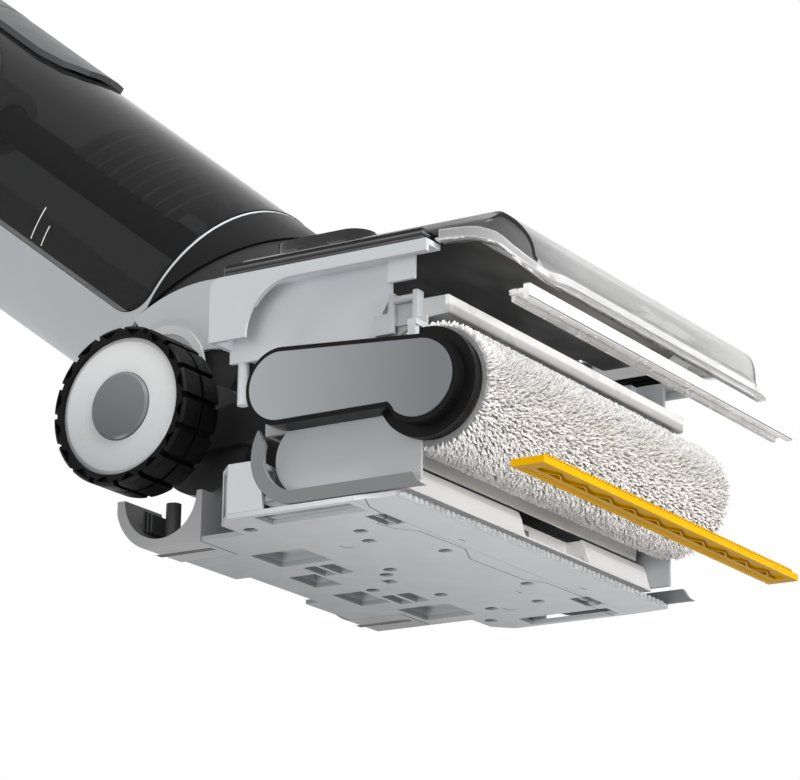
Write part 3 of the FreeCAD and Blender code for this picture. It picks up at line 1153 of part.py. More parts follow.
def make_comb():
    """Hair comb, pulled forward of the base: bar with fine teeth along its rear edge."""
    half, front, depth = value("comb_half"), value("comb_front"), value("comb_depth")
    bottom, thick = value("comb_bottom"), value("comb_thickness")
    bar = Part.makeBox(2 * half, depth - 5, thick, Vector(-half, front, bottom))
    bar = bar.cut(Part.makeBox(2 * half - 16, depth - 10, 1.2, Vector(8 - half, front + 2.5, bottom - 0.1)))
    teeth = []
    pitch = value("comb_pitch")
    count = int((2 * half - 8) / pitch)
    for number in range(count):
        x = -half + 4 + number * pitch
        teeth.append(Part.makeBox(pitch * 0.5, 5.2, thick * 0.6, Vector(x, front + depth - 5.2, bottom)))
    ends = [Part.makeBox(4, 5.2, thick, Vector(x, front + depth - 5.2, bottom)) for x in (-half, half - 4)]
    keep(fixed("Comb", bar.fuse(teeth + ends).removeSplitter()), "hair_comb")


# ================================================================ build, check and export
make_chassis()
make_lip()
make_drive_arm()
make_side_cover()
make_bracket(-1, "front_bracket_near")
make_bracket(1, "front_bracket_far")
make_axle()
make_roller()
make_wheel(-1, "near_wheel")
make_wheel(1, "far_wheel")
make_neck()
make_tank()
make_housing()
make_handle()
make_frame()
make_cover()
make_scraper()
make_base()
make_comb()

doc.recompute()
for obj in doc.Objects:
    assert not {"Invalid", "Error"} & set(obj.State), obj.Name + " failed to build"
os.makedirs("parts", exist_ok=True)
for node, obj in NODES.items():
    assert not obj.Shape.isNull() and obj.Shape.isValid(), node + " has no valid shape"
    obj.Shape.exportStep(f"parts/{node}.step")
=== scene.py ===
"""Looks of a wet dry floor scrubber: camera, studio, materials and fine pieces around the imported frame.

Metres, in the frame's own axes: +Z up, -Y towards the roller, "near" is the -X side.
"""

import json
import math
import random

import bmesh
import bpy
from mathutils import Matrix, Vector


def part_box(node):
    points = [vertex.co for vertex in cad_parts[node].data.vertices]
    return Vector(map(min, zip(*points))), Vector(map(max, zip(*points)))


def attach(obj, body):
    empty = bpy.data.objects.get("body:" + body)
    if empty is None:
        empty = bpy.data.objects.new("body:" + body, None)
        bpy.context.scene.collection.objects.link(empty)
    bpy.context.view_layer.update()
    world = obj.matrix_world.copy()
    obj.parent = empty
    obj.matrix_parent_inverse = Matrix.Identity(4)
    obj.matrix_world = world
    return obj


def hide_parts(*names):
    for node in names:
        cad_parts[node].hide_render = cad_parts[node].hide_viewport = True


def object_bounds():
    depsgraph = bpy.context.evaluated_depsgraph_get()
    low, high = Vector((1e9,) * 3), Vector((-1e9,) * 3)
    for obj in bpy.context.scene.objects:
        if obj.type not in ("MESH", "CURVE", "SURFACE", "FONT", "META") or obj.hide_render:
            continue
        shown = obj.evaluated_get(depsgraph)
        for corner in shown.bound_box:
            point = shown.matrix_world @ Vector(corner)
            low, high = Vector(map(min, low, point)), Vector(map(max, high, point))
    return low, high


MM = 0.001

# The camera stands below the floor and looks up at the underside of the head.
CAMERA_PLACE = Vector((-1.25323, -0.75847, -0.35280))
CAMERA_RIGHT = Vector((0.53067, -0.84749, 0.01257))
CAMERA_UP = Vector((-0.24977, -0.14219, 0.95781))
CAMERA_LENS = 144.66

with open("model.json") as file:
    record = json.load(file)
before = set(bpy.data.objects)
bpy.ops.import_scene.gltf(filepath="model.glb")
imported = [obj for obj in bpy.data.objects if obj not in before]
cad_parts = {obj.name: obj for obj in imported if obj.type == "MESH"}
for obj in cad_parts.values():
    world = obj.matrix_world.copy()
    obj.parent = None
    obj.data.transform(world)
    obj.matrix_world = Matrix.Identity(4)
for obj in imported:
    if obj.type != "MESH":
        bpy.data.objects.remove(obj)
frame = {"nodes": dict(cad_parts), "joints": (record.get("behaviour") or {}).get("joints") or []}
cad_low, cad_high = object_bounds()
nodes = frame["nodes"]


def middle(node):
    low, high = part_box(node)
    return (low + high) / 2


# ---------------------------------------------------------------- materials

class Shade:
    """A material's node tree with short calls for what the finishes here are made of."""

    def __init__(self, name):
        self.material = bpy.data.materials.new(name)
        self.material.use_nodes = True
        self.tree = self.material.node_tree
        self.shader = next(n for n in self.tree.nodes if n.type == "BSDF_PRINCIPLED")
        self.place = self.add("ShaderNodeTexCoord").outputs["Object"]

    def add(self, kind, **settings):
        node = self.tree.nodes.new(kind)
        for name, setting in settings.items():
            setattr(node, name, setting)
        return node

    def link(self, source, target):
        self.tree.links.new(source, target)

    def set(self, **values):
        """Plain values on the shader's own sockets: coat_weight=0.3 sets Coat Weight."""
        for name, setting in values.items():
            self.shader.inputs[name.replace("_", " ").title().replace("Ior", "IOR")].default_value = setting

    def noise(self, scale, detail=3.0, stretch=None):
        node = self.add("ShaderNodeTexNoise")
        node.inputs["Scale"].default_value = scale
        node.inputs["Detail"].default_value = detail
        source = self.place
        if stretch:
            mapping = self.add("ShaderNodeMapping")
            mapping.inputs["Scale"].default_value = stretch
            self.link(source, mapping.inputs["Vector"])
            source = mapping.outputs["Vector"]
        self.link(source, node.inputs["Vector"])
        return node.outputs["Fac"]

    def ramp(self, source, stops):
        """Colours or greys along a factor: stops are (position, colour)."""
        node = self.add("ShaderNodeValToRGB")
        while len(node.color_ramp.elements) < len(stops):
            node.color_ramp.elements.new(0.5)
        for element, (position, colour) in zip(node.color_ramp.elements, stops):
            element.position = position
            element.color = (*colour, 1.0)
        self.link(source, node.inputs["Fac"])
        return node.outputs["Color"]

    def spread(self, source, low, high, from_low=0.35, from_high=0.65):
        node = self.add("ShaderNodeMapRange")
        node.inputs["From Min"].default_value = from_low
        node.inputs["From Max"].default_value = from_high
        node.inputs["To Min"].default_value = low
        node.inputs["To Max"].default_value = high
        self.link(source, node.inputs["Value"])
        return node.outputs["Result"]

    def offset(self, origin):
        """The way from origin to a point, in metres."""
        move = self.add("ShaderNodeVectorMath", operation="SUBTRACT")
        move.inputs[1].default_value = origin
        self.link(self.place, move.inputs[0])
        return move.outputs["Vector"]

    def along(self, direction, origin):
        """How far a point lies from origin along direction, in metres."""
        dot = self.add("ShaderNodeVectorMath", operation="DOT_PRODUCT")
        dot.inputs[1].default_value = direction
        self.link(self.offset(origin), dot.inputs[0])
        return dot.outputs["Value"]

    def reach(self, centre):
        """Distance from the line through centre that runs along X."""
        flat = self.add("ShaderNodeVectorMath", operation="MULTIPLY")
        flat.inputs[1].default_value = (0.0, 1.0, 1.0)
        self.link(self.offset(centre), flat.inputs[0])
        length = self.add("ShaderNodeVectorMath", operation="LENGTH")
        self.link(flat.outputs["Vector"], length.inputs[0])
        return length.outputs["Value"]

    def times(self, one, two):
        node = self.add("ShaderNodeMath", operation="MULTIPLY")
        self.link(one, node.inputs[0])
        self.link(two, node.inputs[1])
        return node.outputs["Value"]

    def mixed(self, factor, first, second, blend="MIX"):
        """Two colours mixed by a factor: a socket, or a plain number."""
        node = self.add("ShaderNodeMix", data_type="RGBA", blend_type=blend)
        if isinstance(factor, float):
            node.inputs["Factor"].default_value = factor
        else:
            self.link(factor, node.inputs["Factor"])
        self.link(first, node.inputs["A"])
        self.link(second, node.inputs["B"])
        return node.outputs["Result"]

    def colour(self, source):
        self.link(source, self.shader.inputs["Base Color"])

    def roughness(self, source):
        self.link(source, self.shader.inputs["Roughness"])

    def bump(self, source, height, strength=0.6):
        node = self.add("ShaderNodeBump")
        node.inputs["Strength"].default_value = strength
        node.inputs["Distance"].default_value = height
        self.link(source, node.inputs["Height"])
        self.link(node.outputs["Normal"], self.shader.inputs["Normal"])


def greys(*stops):
    """Ramp stops of plain greys, from (position, grey) pairs."""
    return [(position, (grey, grey, grey)) for position, grey in stops]


def tinted(colour, share):
    return tuple(min(1.0, c * (1 + share)) for c in colour)


def drifting(shade, colour, cloud=0.03):
    """A colour that drifts faintly in tone, as plastic does where it flowed."""
    return shade.ramp(shade.noise(14.0), [(0.35, tinted(colour, -cloud)), (0.65, tinted(colour, cloud))])


def moulded_surface(shade, roughness, grain=1600.0, height=0.03 * MM, coat=0.0, gloss=0.4):
    """Fine spark-eroded grain of an injection moulded wall."""
    shade.roughness(shade.spread(shade.noise(60.0, 5.0), roughness - 0.05, roughness + 0.05))
    shade.bump(shade.noise(grain, 2.0), height)
    shade.set(coat_weight=coat, coat_roughness=0.12, specular_ior_level=gloss)


def moulded(name, colour, roughness, cloud=0.03, **surface):
    shade = Shade(name)
    shade.colour(drifting(shade, colour, cloud))
    moulded_surface(shade, roughness, **surface)
    return shade.material


def clear(name, colour, edge, roughness=0.02, ior=1.46, through=1.0, haze=0.02, gloss=0.5, coat=0.2):
    """Clear moulded plastic: slight ripple, and painted dark reflections where the eye looks along the wall."""
    shade = Shade(name)
    facing = shade.add("ShaderNodeLayerWeight")
    facing.inputs["Blend"].default_value = 0.3
    painted_edge_dark = shade.ramp(facing.outputs["Facing"], greys((0.0, 1.0), (0.55, 1.0)) + [(0.92, edge)])
    shade.colour(shade.mixed(1.0, drifting(shade, colour), painted_edge_dark, "MULTIPLY"))
    shade.roughness(shade.spread(shade.noise(40.0), roughness, roughness + haze))
    shade.bump(shade.noise(60.0, 1.0), 0.05 * MM, 0.3)
    shade.set(transmission_weight=through, ior=ior, specular_ior_level=gloss)
    shade.set(coat_weight=coat, coat_roughness=0.02)
    return shade.material


def metal(name, colour, roughness, brush=(40.0, 1.0, 1.0)):
    shade = Shade(name)
    lines = shade.noise(700.0, 4.0, brush)
    shade.colour(shade.ramp(lines, [(0.3, tinted(colour, -0.12)), (0.7, tinted(colour, 0.1))]))
    shade.roughness(shade.spread(lines, roughness - 0.06, roughness + 0.1))
    shade.bump(lines, 0.02 * MM)
    shade.set(metallic=1.0)
    return shade.material


def tyre_rubber():
    """Black rubber with fine ribs across the tread's blocks."""
    shade = Shade("tyre_rubber")
    shade.colour(shade.ramp(shade.noise(30.0), [(0.35, (0.002, 0.002, 0.002)), (0.65, (0.006, 0.006, 0.006))]))
    shade.roughness(shade.spread(shade.noise(220.0, 4.0), 0.38, 0.55))
    ribs = shade.add("ShaderNodeTexWave", wave_type="BANDS", bands_direction="X")
    ribs.inputs["Scale"].default_value = 260.0
    ribs.inputs["Distortion"].default_value = 0.0
    shade.link(shade.place, ribs.inputs["Vector"])
    shade.bump(ribs.outputs["Fac"], 0.15 * MM, 0.5)
    shade.set(specular_ior_level=0.08)
    return shade.material


def graded(name, first, last, direction, start, length, roughness, **surface):
    """Moulded plastic with painted light and shade: its tone runs from first to last along a direction."""
    shade = Shade(name)
    run = shade.spread(shade.along(direction, start), 0.0, 1.0, 0.0, length)
    cloud = drifting(shade, (1.0, 1.0, 1.0), 0.02)
    shade.colour(shade.mixed(1.0, shade.ramp(run, [(0.0, first), (1.0, last)]), cloud, "MULTIPLY"))
    moulded_surface(shade, roughness, **surface)
    return shade.material


def radial_metal(name, low, high, roughness, centre, radius):
    """Satin paint on a turned disc, with painted light that brightens it towards its top, and rings too fine to
    count.
    """
    shade = Shade(name)
    painted_light_way = Vector((0.0, -0.35, 0.94))
    run = shade.spread(shade.along(painted_light_way, centre), 0.0, 1.0, -radius, radius)
    tone = shade.ramp(run, [(0.0, low), (1.0, high)])
    shade.colour(shade.mixed(1.0, tone, drifting(shade, (1.0, 1.0, 1.0)), "MULTIPLY"))
    shade.roughness(shade.spread(shade.noise(90.0, 4.0), roughness - 0.04, roughness + 0.04))
    rings = shade.add("ShaderNodeTexWave", wave_type="RINGS", rings_direction="X")
    rings.inputs["Scale"].default_value = 900.0
    shade.link(shade.offset(centre), rings.inputs["Vector"])
    shade.bump(rings.outputs["Fac"], 0.01 * MM, 0.25)
    shade.set(specular_ior_level=0.55)
    return shade.material


def pile_fibre(centre, root, tip):
    """Fleece: dark at the tufts' roots as painted shade between them, cream white over most of their length, in
    paler and greyer yarn.
    """
    shade = Shade("pile_fibre")
    depth = shade.spread(shade.reach(centre), 0.0, 1.0, root, tip)
    along = shade.ramp(depth, [(0.0, (0.22, 0.22, 0.222)), (0.3, (0.74, 0.73, 0.72)),
                               (0.5, (0.95, 0.935, 0.915))])
    yarn = shade.ramp(shade.noise(420.0, 3.0), [(0.36, (0.80, 0.80, 0.81)), (0.5, (1.0, 1.0, 1.0))])
    shade.colour(shade.mixed(1.0, along, yarn, "MULTIPLY"))
    shade.set(roughness=0.85, sheen_weight=0.15, sheen_roughness=0.4, specular_ior_level=0.1)
    shade.bump(shade.noise(2500.0, 2.0), 0.08 * MM)
    return shade.material


def body_axes():
    """Swivel centre on the body's axis, the way up the body, and the way from the tank to the housing."""
    joints = {joint["name"]: joint for joint in frame["joints"]}
    up = Vector(joints["fan_spin"]["axis"]).normalized()
    to_rear = -Vector(joints["waste_tank_lift_off"]["axis"]).normalized()
    return Vector(joints["body_swivel"]["pos_m"]), up, to_rear


def housing_shell():
    """Grey body whose foot under the tank is dark, in the tone of the neck below it."""
    centre, up, to_rear = body_axes()
    shade = Shade("housing_shell")
    low = shade.spread(shade.along(up, centre), 1.0, 0.0, FOOT_TOP - 0.1 * MM, FOOT_TOP + 0.1 * MM)
    front = shade.spread(shade.along(to_rear, centre), 1.0, 0.0, FOOT_REAR - 0.1 * MM, FOOT_REAR + 0.1 * MM)
    foot = shade.times(low, front)
    shade.colour(shade.mixed(foot, drifting(shade, BODY_GREY, 0.02), drifting(shade, NECK_DARK)))
    moulded_surface(shade, 0.34, grain=2400.0, height=0.012 * MM, gloss=0.1)
    return shade.material


def striped_rail(low, high):
    """Dark rail on the cover's side, with painted level stripes for its steps and seals: the grey stripes are
    painted light on the steps.
    """
    shade = Shade("striped_rail")
    level = shade.spread(shade.along((0.0, 0.0, 1.0), (0.0, 0.0, 0.0)), 0.0, 1.0, low, high)
    dark, grey = (0.006, 0.006, 0.007), (0.15, 0.153, 0.156)
    stripes = shade.ramp(level, [(0.0, grey), (0.12, dark), (0.34, (0.10, 0.10, 0.105)), (0.44, dark),
                                 (0.60, (0.05, 0.05, 0.052)), (0.70, grey), (0.80, dark), (1.0, dark)])
    streaks = shade.ramp(shade.noise(120.0, 3.0, (1.0, 0.15, 4.0)), greys((0.35, 0.5), (0.65, 1.0)))
    shade.colour(shade.mixed(1.0, stripes, streaks, "MULTIPLY"))
    shade.roughness(shade.spread(shade.noise(60.0), 0.15, 0.25))
    shade.bump(shade.noise(300.0, 1.0, (1.0, 0.1, 3.0)), 0.05 * MM)
    shade.set(specular_ior_level=0.15, coat_weight=0.25, coat_roughness=0.05)
    return shade.material


def cradle_shell(side, tone):
    """Cradle for the axle: dark inside its hollow, grey outside."""
    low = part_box(f"cradle_{side}")[0]
    centre = Vector((0.0, low.y + CRADLE_AXIS.y, low.z + CRADLE_AXIS.z))
    shade = Shade(f"cradle_{side}")
    inside = shade.spread(shade.reach(centre), 1.0, 0.0, CRADLE_HOLLOW, CRADLE_HOLLOW + 0.3 * MM)
    outer, hollow = drifting(shade, (tone, tone, tone * 1.02)), drifting(shade, (0.055, 0.056, 0.058))
    shade.colour(shade.mixed(inside, outer, hollow))
    moulded_surface(shade, 0.42)
    return shade.material


def frame_shell():
    """Grey frame, painted paler wherever it lies behind its near face, as on the floor of the recess: painted
    light.
    """
    shade = Shade("frame_grey")
    behind = shade.along((1.0, 0.0, 0.0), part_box("upper_frame")[0])
    painted_light_share = shade.spread(behind, 0.0, 1.0, RECESS_START, RECESS_START + 0.5 * MM)
    shade.colour(shade.mixed(painted_light_share, drifting(shade, LIGHT_GREY), drifting(shade, tinted(LIGHT_GREY, 0.35))))
    moulded_surface(shade, 0.42, gloss=0.35)
    return shade.material


def lip_white():
    """White lip over the roller, greyer on its lower half, painted shade under its bead."""
    low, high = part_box("chamber_lip")
    shade = Shade("lip_white")
    level = shade.spread(shade.along((0.0, 0.0, 1.0), low), 0.0, 1.0, 0.0, high.z - low.z)
    shade.colour(shade.ramp(level, [(0.0, (0.36, 0.355, 0.35)), (0.42, (0.52, 0.515, 0.505)),
                                    (0.56, (0.87, 0.86, 0.845))]))
    moulded_surface(shade, 0.3, grain=2000.0, height=0.01 * MM, coat=0.2)
    return shade.material


def clear_dome(near, front):
    """The cover's clear wall, greyer at its near end, towards its top and along its edges, with painted shade
    and reflection.
    """
    shade = Shade("clear_dome")
    facing = shade.add("ShaderNodeLayerWeight")
    facing.inputs["Blend"].default_value = 0.3
    edges = shade.ramp(facing.outputs["Facing"], greys((0.0, 1.0), (0.45, 1.0), (0.72, 0.5), (0.94, 0.04)))
    across = shade.spread(shade.along((1.0, 0.0, 0.0), (near, 0.0, 0.0)), 0.0, 1.0, 0.0, 60 * MM)
    bank = shade.ramp(across, [(0.0, (0.25, 0.25, 0.255)), (0.5, (0.55, 0.55, 0.555)),
                               (1.0, (0.82, 0.817, 0.812))])
    # The smoke below is painted shade, greying the wall further back, towards its top.
    back = shade.spread(shade.along((0.0, 1.0, 0.0), (0.0, front, 0.0)), 0.0, 1.0, 14 * MM, 46 * MM)
    smoke = shade.ramp(back, [(0.0, (1.0, 1.0, 1.0)), (1.0, (0.45, 0.45, 0.452))])
    shade.colour(shade.mixed(1.0, shade.mixed(1.0, bank, smoke, "MULTIPLY"), edges, "MULTIPLY"))
    shade.roughness(shade.spread(shade.noise(40.0), 0.015, 0.04))
    shade.bump(shade.noise(60.0, 1.0), 0.05 * MM, 0.3)
    shade.set(transmission_weight=1.0, ior=1.46, coat_weight=0.2, coat_roughness=0.02)
    return shade.material


def roof_lining(near, far):
    """Glossy dark roof over the roller chamber, with a painted sheen that pales its far end and blotches of
    painted reflection across it.
    """
    shade = Shade("roof_lining")
    across = shade.spread(shade.along((1.0, 0.0, 0.0), (0.0, 0.0, 0.0)), 0.0, 1.0, near, far)
    tone = shade.ramp(across, [(0.0, (0.05, 0.05, 0.05)), (0.3, (0.20, 0.20, 0.198)),
                               (0.8, (0.60, 0.595, 0.59))])
    cloud = shade.ramp(shade.noise(11.0, 2.0, (1.0, 2.5, 1.0)), greys((0.38, 0.35), (0.62, 1.0)))
    shade.colour(shade.mixed(1.0, tone, cloud, "MULTIPLY"))
    shade.roughness(shade.spread(shade.noise(50.0), 0.12, 0.2))
    shade.bump(shade.noise(40.0, 1.0), 0.03 * MM, 0.3)
    shade.set(specular_ior_level=0.10)
    return shade.material


FOOT_TOP = 4.2 * MM           # top of the housing's dark foot, up the body from the swivel centre
FOOT_REAR = 20.4 * MM         # its rear edge, where tank and housing part
CRADLE_AXIS = Vector((0.0, 23.3 * MM, 28.2 * MM))     # centre of the cradle's hollow from its box's low corner
CRADLE_HOLLOW = 20.5 * MM
RECESS_START = 3.0 * MM       # how deep the frame's painted paler surfaces lie behind its near face
LIGHT_GREY = (0.43, 0.445, 0.46)
BODY_GREY = (0.41, 0.43, 0.445)
NECK_DARK = (0.006, 0.006, 0.006)
rail_low, rail_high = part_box("cover_rail")
roller_low, roller_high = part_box("roller_pile")
arm_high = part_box("drive_arm_cover")[1]
plate_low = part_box("front_plate")[0]

FINISHES = {
    "shell_grey": moulded("shell_grey", LIGHT_GREY, 0.42, gloss=0.35),
    "body_grey": moulded("body_grey", BODY_GREY, 0.34, cloud=0.02, grain=2400.0, height=0.012 * MM, gloss=0.35),
    "housing": housing_shell(),
    "trim_grey": moulded("trim_grey", (0.15, 0.158, 0.162), 0.46, gloss=0.3),
    # The arm cover is painted lighter at its rear and darker at its front: painted light and shade.
    "cover_grey": graded("cover_grey", (0.29, 0.305, 0.315), (0.135, 0.142, 0.15), (0.0, -1.0, 0.0),
                         arm_high, 96 * MM, 0.36, grain=2000.0, height=0.015 * MM, gloss=0.3),
    # The underside plate is painted lighter at its front and darker at its rear: painted light and shade.
    "plate_grey": graded("plate_grey", (0.63, 0.645, 0.66), (0.26, 0.273, 0.28), (0.0, 1.0, 0.0),
                         plate_low, 140 * MM, 0.42, gloss=0.3),
    # The far cradle is painted darker than the near one: painted shade.
    "cradle_near": cradle_shell("near", 0.31),
    "cradle_far": cradle_shell("far", 0.22),
    "neck_grey": moulded("neck_grey", (0.355, 0.37, 0.38), 0.42, gloss=0.3),
    "barrel_grey": moulded("barrel_grey", (0.045, 0.045, 0.046), 0.42, gloss=0.12),
    "frame_grey": frame_shell(),
    "collar_grey": moulded("collar_grey", (0.40, 0.41, 0.42), 0.45),
    "dark_grey": moulded("dark_grey", (0.022, 0.022, 0.023), 0.40, gloss=0.12),
    "handle_dark": moulded("handle_dark", (0.05, 0.051, 0.053), 0.38, gloss=0.25),
    "comb_smoke": moulded("comb_smoke", (0.45, 0.45, 0.455), 0.5),
    "black": moulded("black_plastic", (0.004, 0.004, 0.004), 0.36, grain=1200.0, gloss=0.12),
    "chassis_grey": moulded("chassis_grey", (0.45, 0.455, 0.46), 0.45, gloss=0.25),
    "white": moulded("white_plastic", (0.87, 0.86, 0.845), 0.32, cloud=0.015, grain=2000.0,
                     height=0.01 * MM, coat=0.2),
    "yellow": moulded("yellow_plastic", (0.61, 0.325, 0.0), 0.35, cloud=0.05, grain=1400.0, gloss=0.03),
    "window_black": moulded("window_black", (0.006, 0.006, 0.007), 0.10, grain=300.0,
                            height=0.002 * MM, coat=0.8),
    "button_grey": moulded("button_grey", (0.30, 0.31, 0.32), 0.40),
    "tyre": tyre_rubber(),
    "steel": metal("ground_steel", (0.55, 0.55, 0.57), 0.30),
    "dark_steel": metal("zinc_steel", (0.07, 0.07, 0.073), 0.40),
    "aluminium": metal("cast_aluminium", (0.60, 0.61, 0.63), 0.42),
    "smoke": clear("smoked_tank", (0.13, 0.131, 0.132), (0.8, 0.8, 0.8), 0.03, 1.22, gloss=0.0, coat=0.06),
    "clear": clear("clear_tank", (0.90, 0.905, 0.91), (0.10, 0.10, 0.105), 0.015, 1.46),
    "dome": clear_dome(rail_low.x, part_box("clear_cover")[0].y),
    "tinted_clear": clear("clear_rim", (0.60, 0.61, 0.62), (0.1, 0.1, 0.1), 0.03, 1.46),
    "button_clear": clear("clear_button", (0.05, 0.05, 0.052), (0.4, 0.4, 0.4), 0.03, 1.46),
    "milky": clear("milky_scraper", (0.92, 0.92, 0.915), (0.35, 0.35, 0.35), 0.22, 1.40, 0.55, 0.1),
    "frosted": clear("frosted_strip", (0.80, 0.81, 0.82), (0.4, 0.4, 0.4), 0.35, 1.40, 0.7, 0.1),
    "lip": lip_white(),
    "rail": striped_rail(rail_low.z, rail_high.z),
    "roof": roof_lining(rail_low.x, rail_high.x),
}

NODE_FINISH = {
    "plate_grey": ["base_plate", "front_plate"],
    "shell_grey": ["base_tray", "front_bracket_near", "front_bracket_far", "far_side_cover"],
    "frame_grey": ["upper_frame"],
    "neck_grey": ["neck_cover"],
    "barrel_grey": ["pivot_barrel"],
    "body_grey": ["handle_tube"],
    "housing": ["main_housing"],
    "trim_grey": ["side_trim_near", "side_trim_far"],
    "cover_grey": ["drive_arm_cover"],
    "cradle_near": ["cradle_near"],
    "cradle_far": ["cradle_far"],
    "collar_grey": ["hose_collar"],
    "dark_grey": ["neck_block", "grip", "tank_stand_pipe", "axle_carrier", "neck_arms"],
    "handle_dark": ["tank_handle"],
    "comb_smoke": ["tank_comb"],
    "chassis_grey": ["chassis"],
    "black": ["drive_arm", "roller_end_ring", "fan_wheel", "battery_pack"],
    "lip": ["chamber_lip"],
    "white": ["suction_scoop", "roller_core", "tank_float"],
    "yellow": ["hair_comb"],
    "window_black": ["display_window"],
    "button_grey": ["power_button", "mode_button", "tank_latch"],
    "tyre": ["near_wheel_tyre", "far_wheel_tyre"],
    "steel": ["axle_rod"],
    "dark_steel": ["base_screws"],
    "aluminium": ["roller_motor", "suction_motor"],
    "smoke": ["dirty_tank"],
    "clear": ["clean_tank"],
    "dome": ["clear_cover"],
    "milky": ["clear_scraper"],
    "tinted_clear": ["tank_lid", "support_roller_near", "support_roller_far"],
    "button_clear": ["release_button_near", "release_button_far"],
    "frosted": ["toothed_strip"],
    "rail": ["cover_rail"],
}


def dress(node, material):
    slots = nodes[node].data.materials
    slots.clear()
    slots.append(material)


for finish, names in NODE_FINISH.items():
    for name in names:
        dress(name, FINISHES[finish])
for side in ("near", "far"):
    hub = middle(f"{side}_wheel_cap")
    # Discs and caps run from a dark low tone to a light high one: painted shade and painted light.
    dress(f"{side}_wheel_disc",
          radial_metal(f"disc_silver_{side}", (0.36, 0.375, 0.39), (0.62, 0.62, 0.62), 0.30, hub, 30 * MM))
    dress(f"{side}_wheel_cap",
          radial_metal(f"cap_grey_{side}", (0.062, 0.066, 0.069), (0.135, 0.14, 0.145), 0.32, hub, 16 * MM))


# ---------------------------------------------------------------- fine pieces

def piece(name, mesh_data, material, body):
    """A new piece of the object, riding on a body and finished with the material given."""
    mesh_data.materials.append(material)
    thing = bpy.data.objects.new(name, mesh_data)
    bpy.context.scene.collection.objects.link(thing)
    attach(thing, body)
    return thing


def from_bmesh(name, bm):
    data = bpy.data.meshes.new(name)
    bm.to_mesh(data)
    bm.free()
    return data


def outward(bm):
    """Turns every face of closed shapes outwards."""
    bmesh.ops.recalc_face_normals(bm, faces=bm.faces)


def round_x(axis, radius, angle, x):
    """Point at x on the circle of a radius round an axis along X."""
    return Vector((x, axis.y + radius * math.cos(angle), axis.z + radius * math.sin(angle)))


def prism(bm, outline, low, high):
    """Upright slab of an outline of (x, y) points."""
    count = len(outline)
    floor = [bm.verts.new((x, y, low)) for x, y in outline]
    roof = [bm.verts.new((x, y, high)) for x, y in outline]
    bm.faces.new(reversed(floor))
    bm.faces.new(roof)
    for i in range(count):
        j = (i + 1) % count
        bm.faces.new((floor[i], floor[j], roof[j], roof[i]))


def slab(bm, left, right, front, back, low, high):
    prism(bm, [(left, front), (right, front), (right, back), (left, back)], low, high)


def carried(bm, places, outs, section):
    """Closed section of (out, up) points carried along a path; outs are its outward directions."""
    rings = [[bm.verts.new(place + out * reach + Vector((0, 0, up))) for reach, up in section]
             for place, out in zip(places, outs)]
    count = len(section)
    for one, two in zip(rings, rings[1:]):
        for i in range(count):
            j = (i + 1) % count
            bm.faces.new((one[i], one[j], two[j], two[i]))
    bm.faces.new(reversed(rings[0]))
    bm.faces.new(rings[-1])
    outward(bm)


def line_on(bm, path, width, low, high):
    """Flat line of one width along a path of (x, y) points, with mitred corners."""
    points = [Vector(p) for p in path]
    sides = []
    for i, point in enumerate(points):
        before = (point - points[max(i - 1, 0)]).normalized()
        after = (points[min(i + 1, len(points) - 1)] - point).normalized()
        along = (before + after).normalized()
        stretch = 1 / max(0.5, along.dot(after if after.length else before))
        sides.append(Vector((-along.y, along.x)) * (width / 2 * stretch))
    one = [p + side for p, side in zip(points, sides)]
    other = [p - side for p, side in zip(points, sides)]
    prism(bm, [tuple(p) for p in one + other[::-1]], low, high)
    outward(bm)


PILE_LENGTH = 3.4 * MM
PILE_PITCH = 1.33 * MM
PILE_LEAN = 0.32          # most that a tuft leans, as a share of its length
TUFT_ROOT = 0.55 * MM     # half a tuft's width at its root and near its tip
TUFT_TIP = 0.43 * MM
PILE_PROUD = 0.1 * MM     # how far tufts stand out past the sleeve's ends
PILE_FLARE = 1.1 * MM     # how far tufts at the ends splay, over the last FLARE_REACH of the sleeve
FLARE_REACH = 2.5 * MM
SLEEVE_WALL = 2.0 * MM    # backing below the tufts' roots, and how far it rises over them
SLEEVE_RISE = 0.2 * MM


def tuft(points, faces, root, tip, turn):
    """Short stub from root to tip, three-sided and pointed at its end."""
    along = (tip - root).normalized()
    across = along.orthogonal().normalized()
    first = len(points)
    for place, half in ((root, TUFT_ROOT), (root.lerp(tip, 0.85), TUFT_TIP)):
        for corner in range(3):
            spin = Matrix.Rotation(turn + corner * math.tau / 3, 3, along)
            points.append(place + spin @ across * half)
    points.append(tip)
    for corner in range(3):
        after = (corner + 1) % 3
        faces.append((first + corner, first + after, first + 3 + after, first + 3 + corner))
        faces.append((first + 3 + corner, first + 3 + after, first + 6))


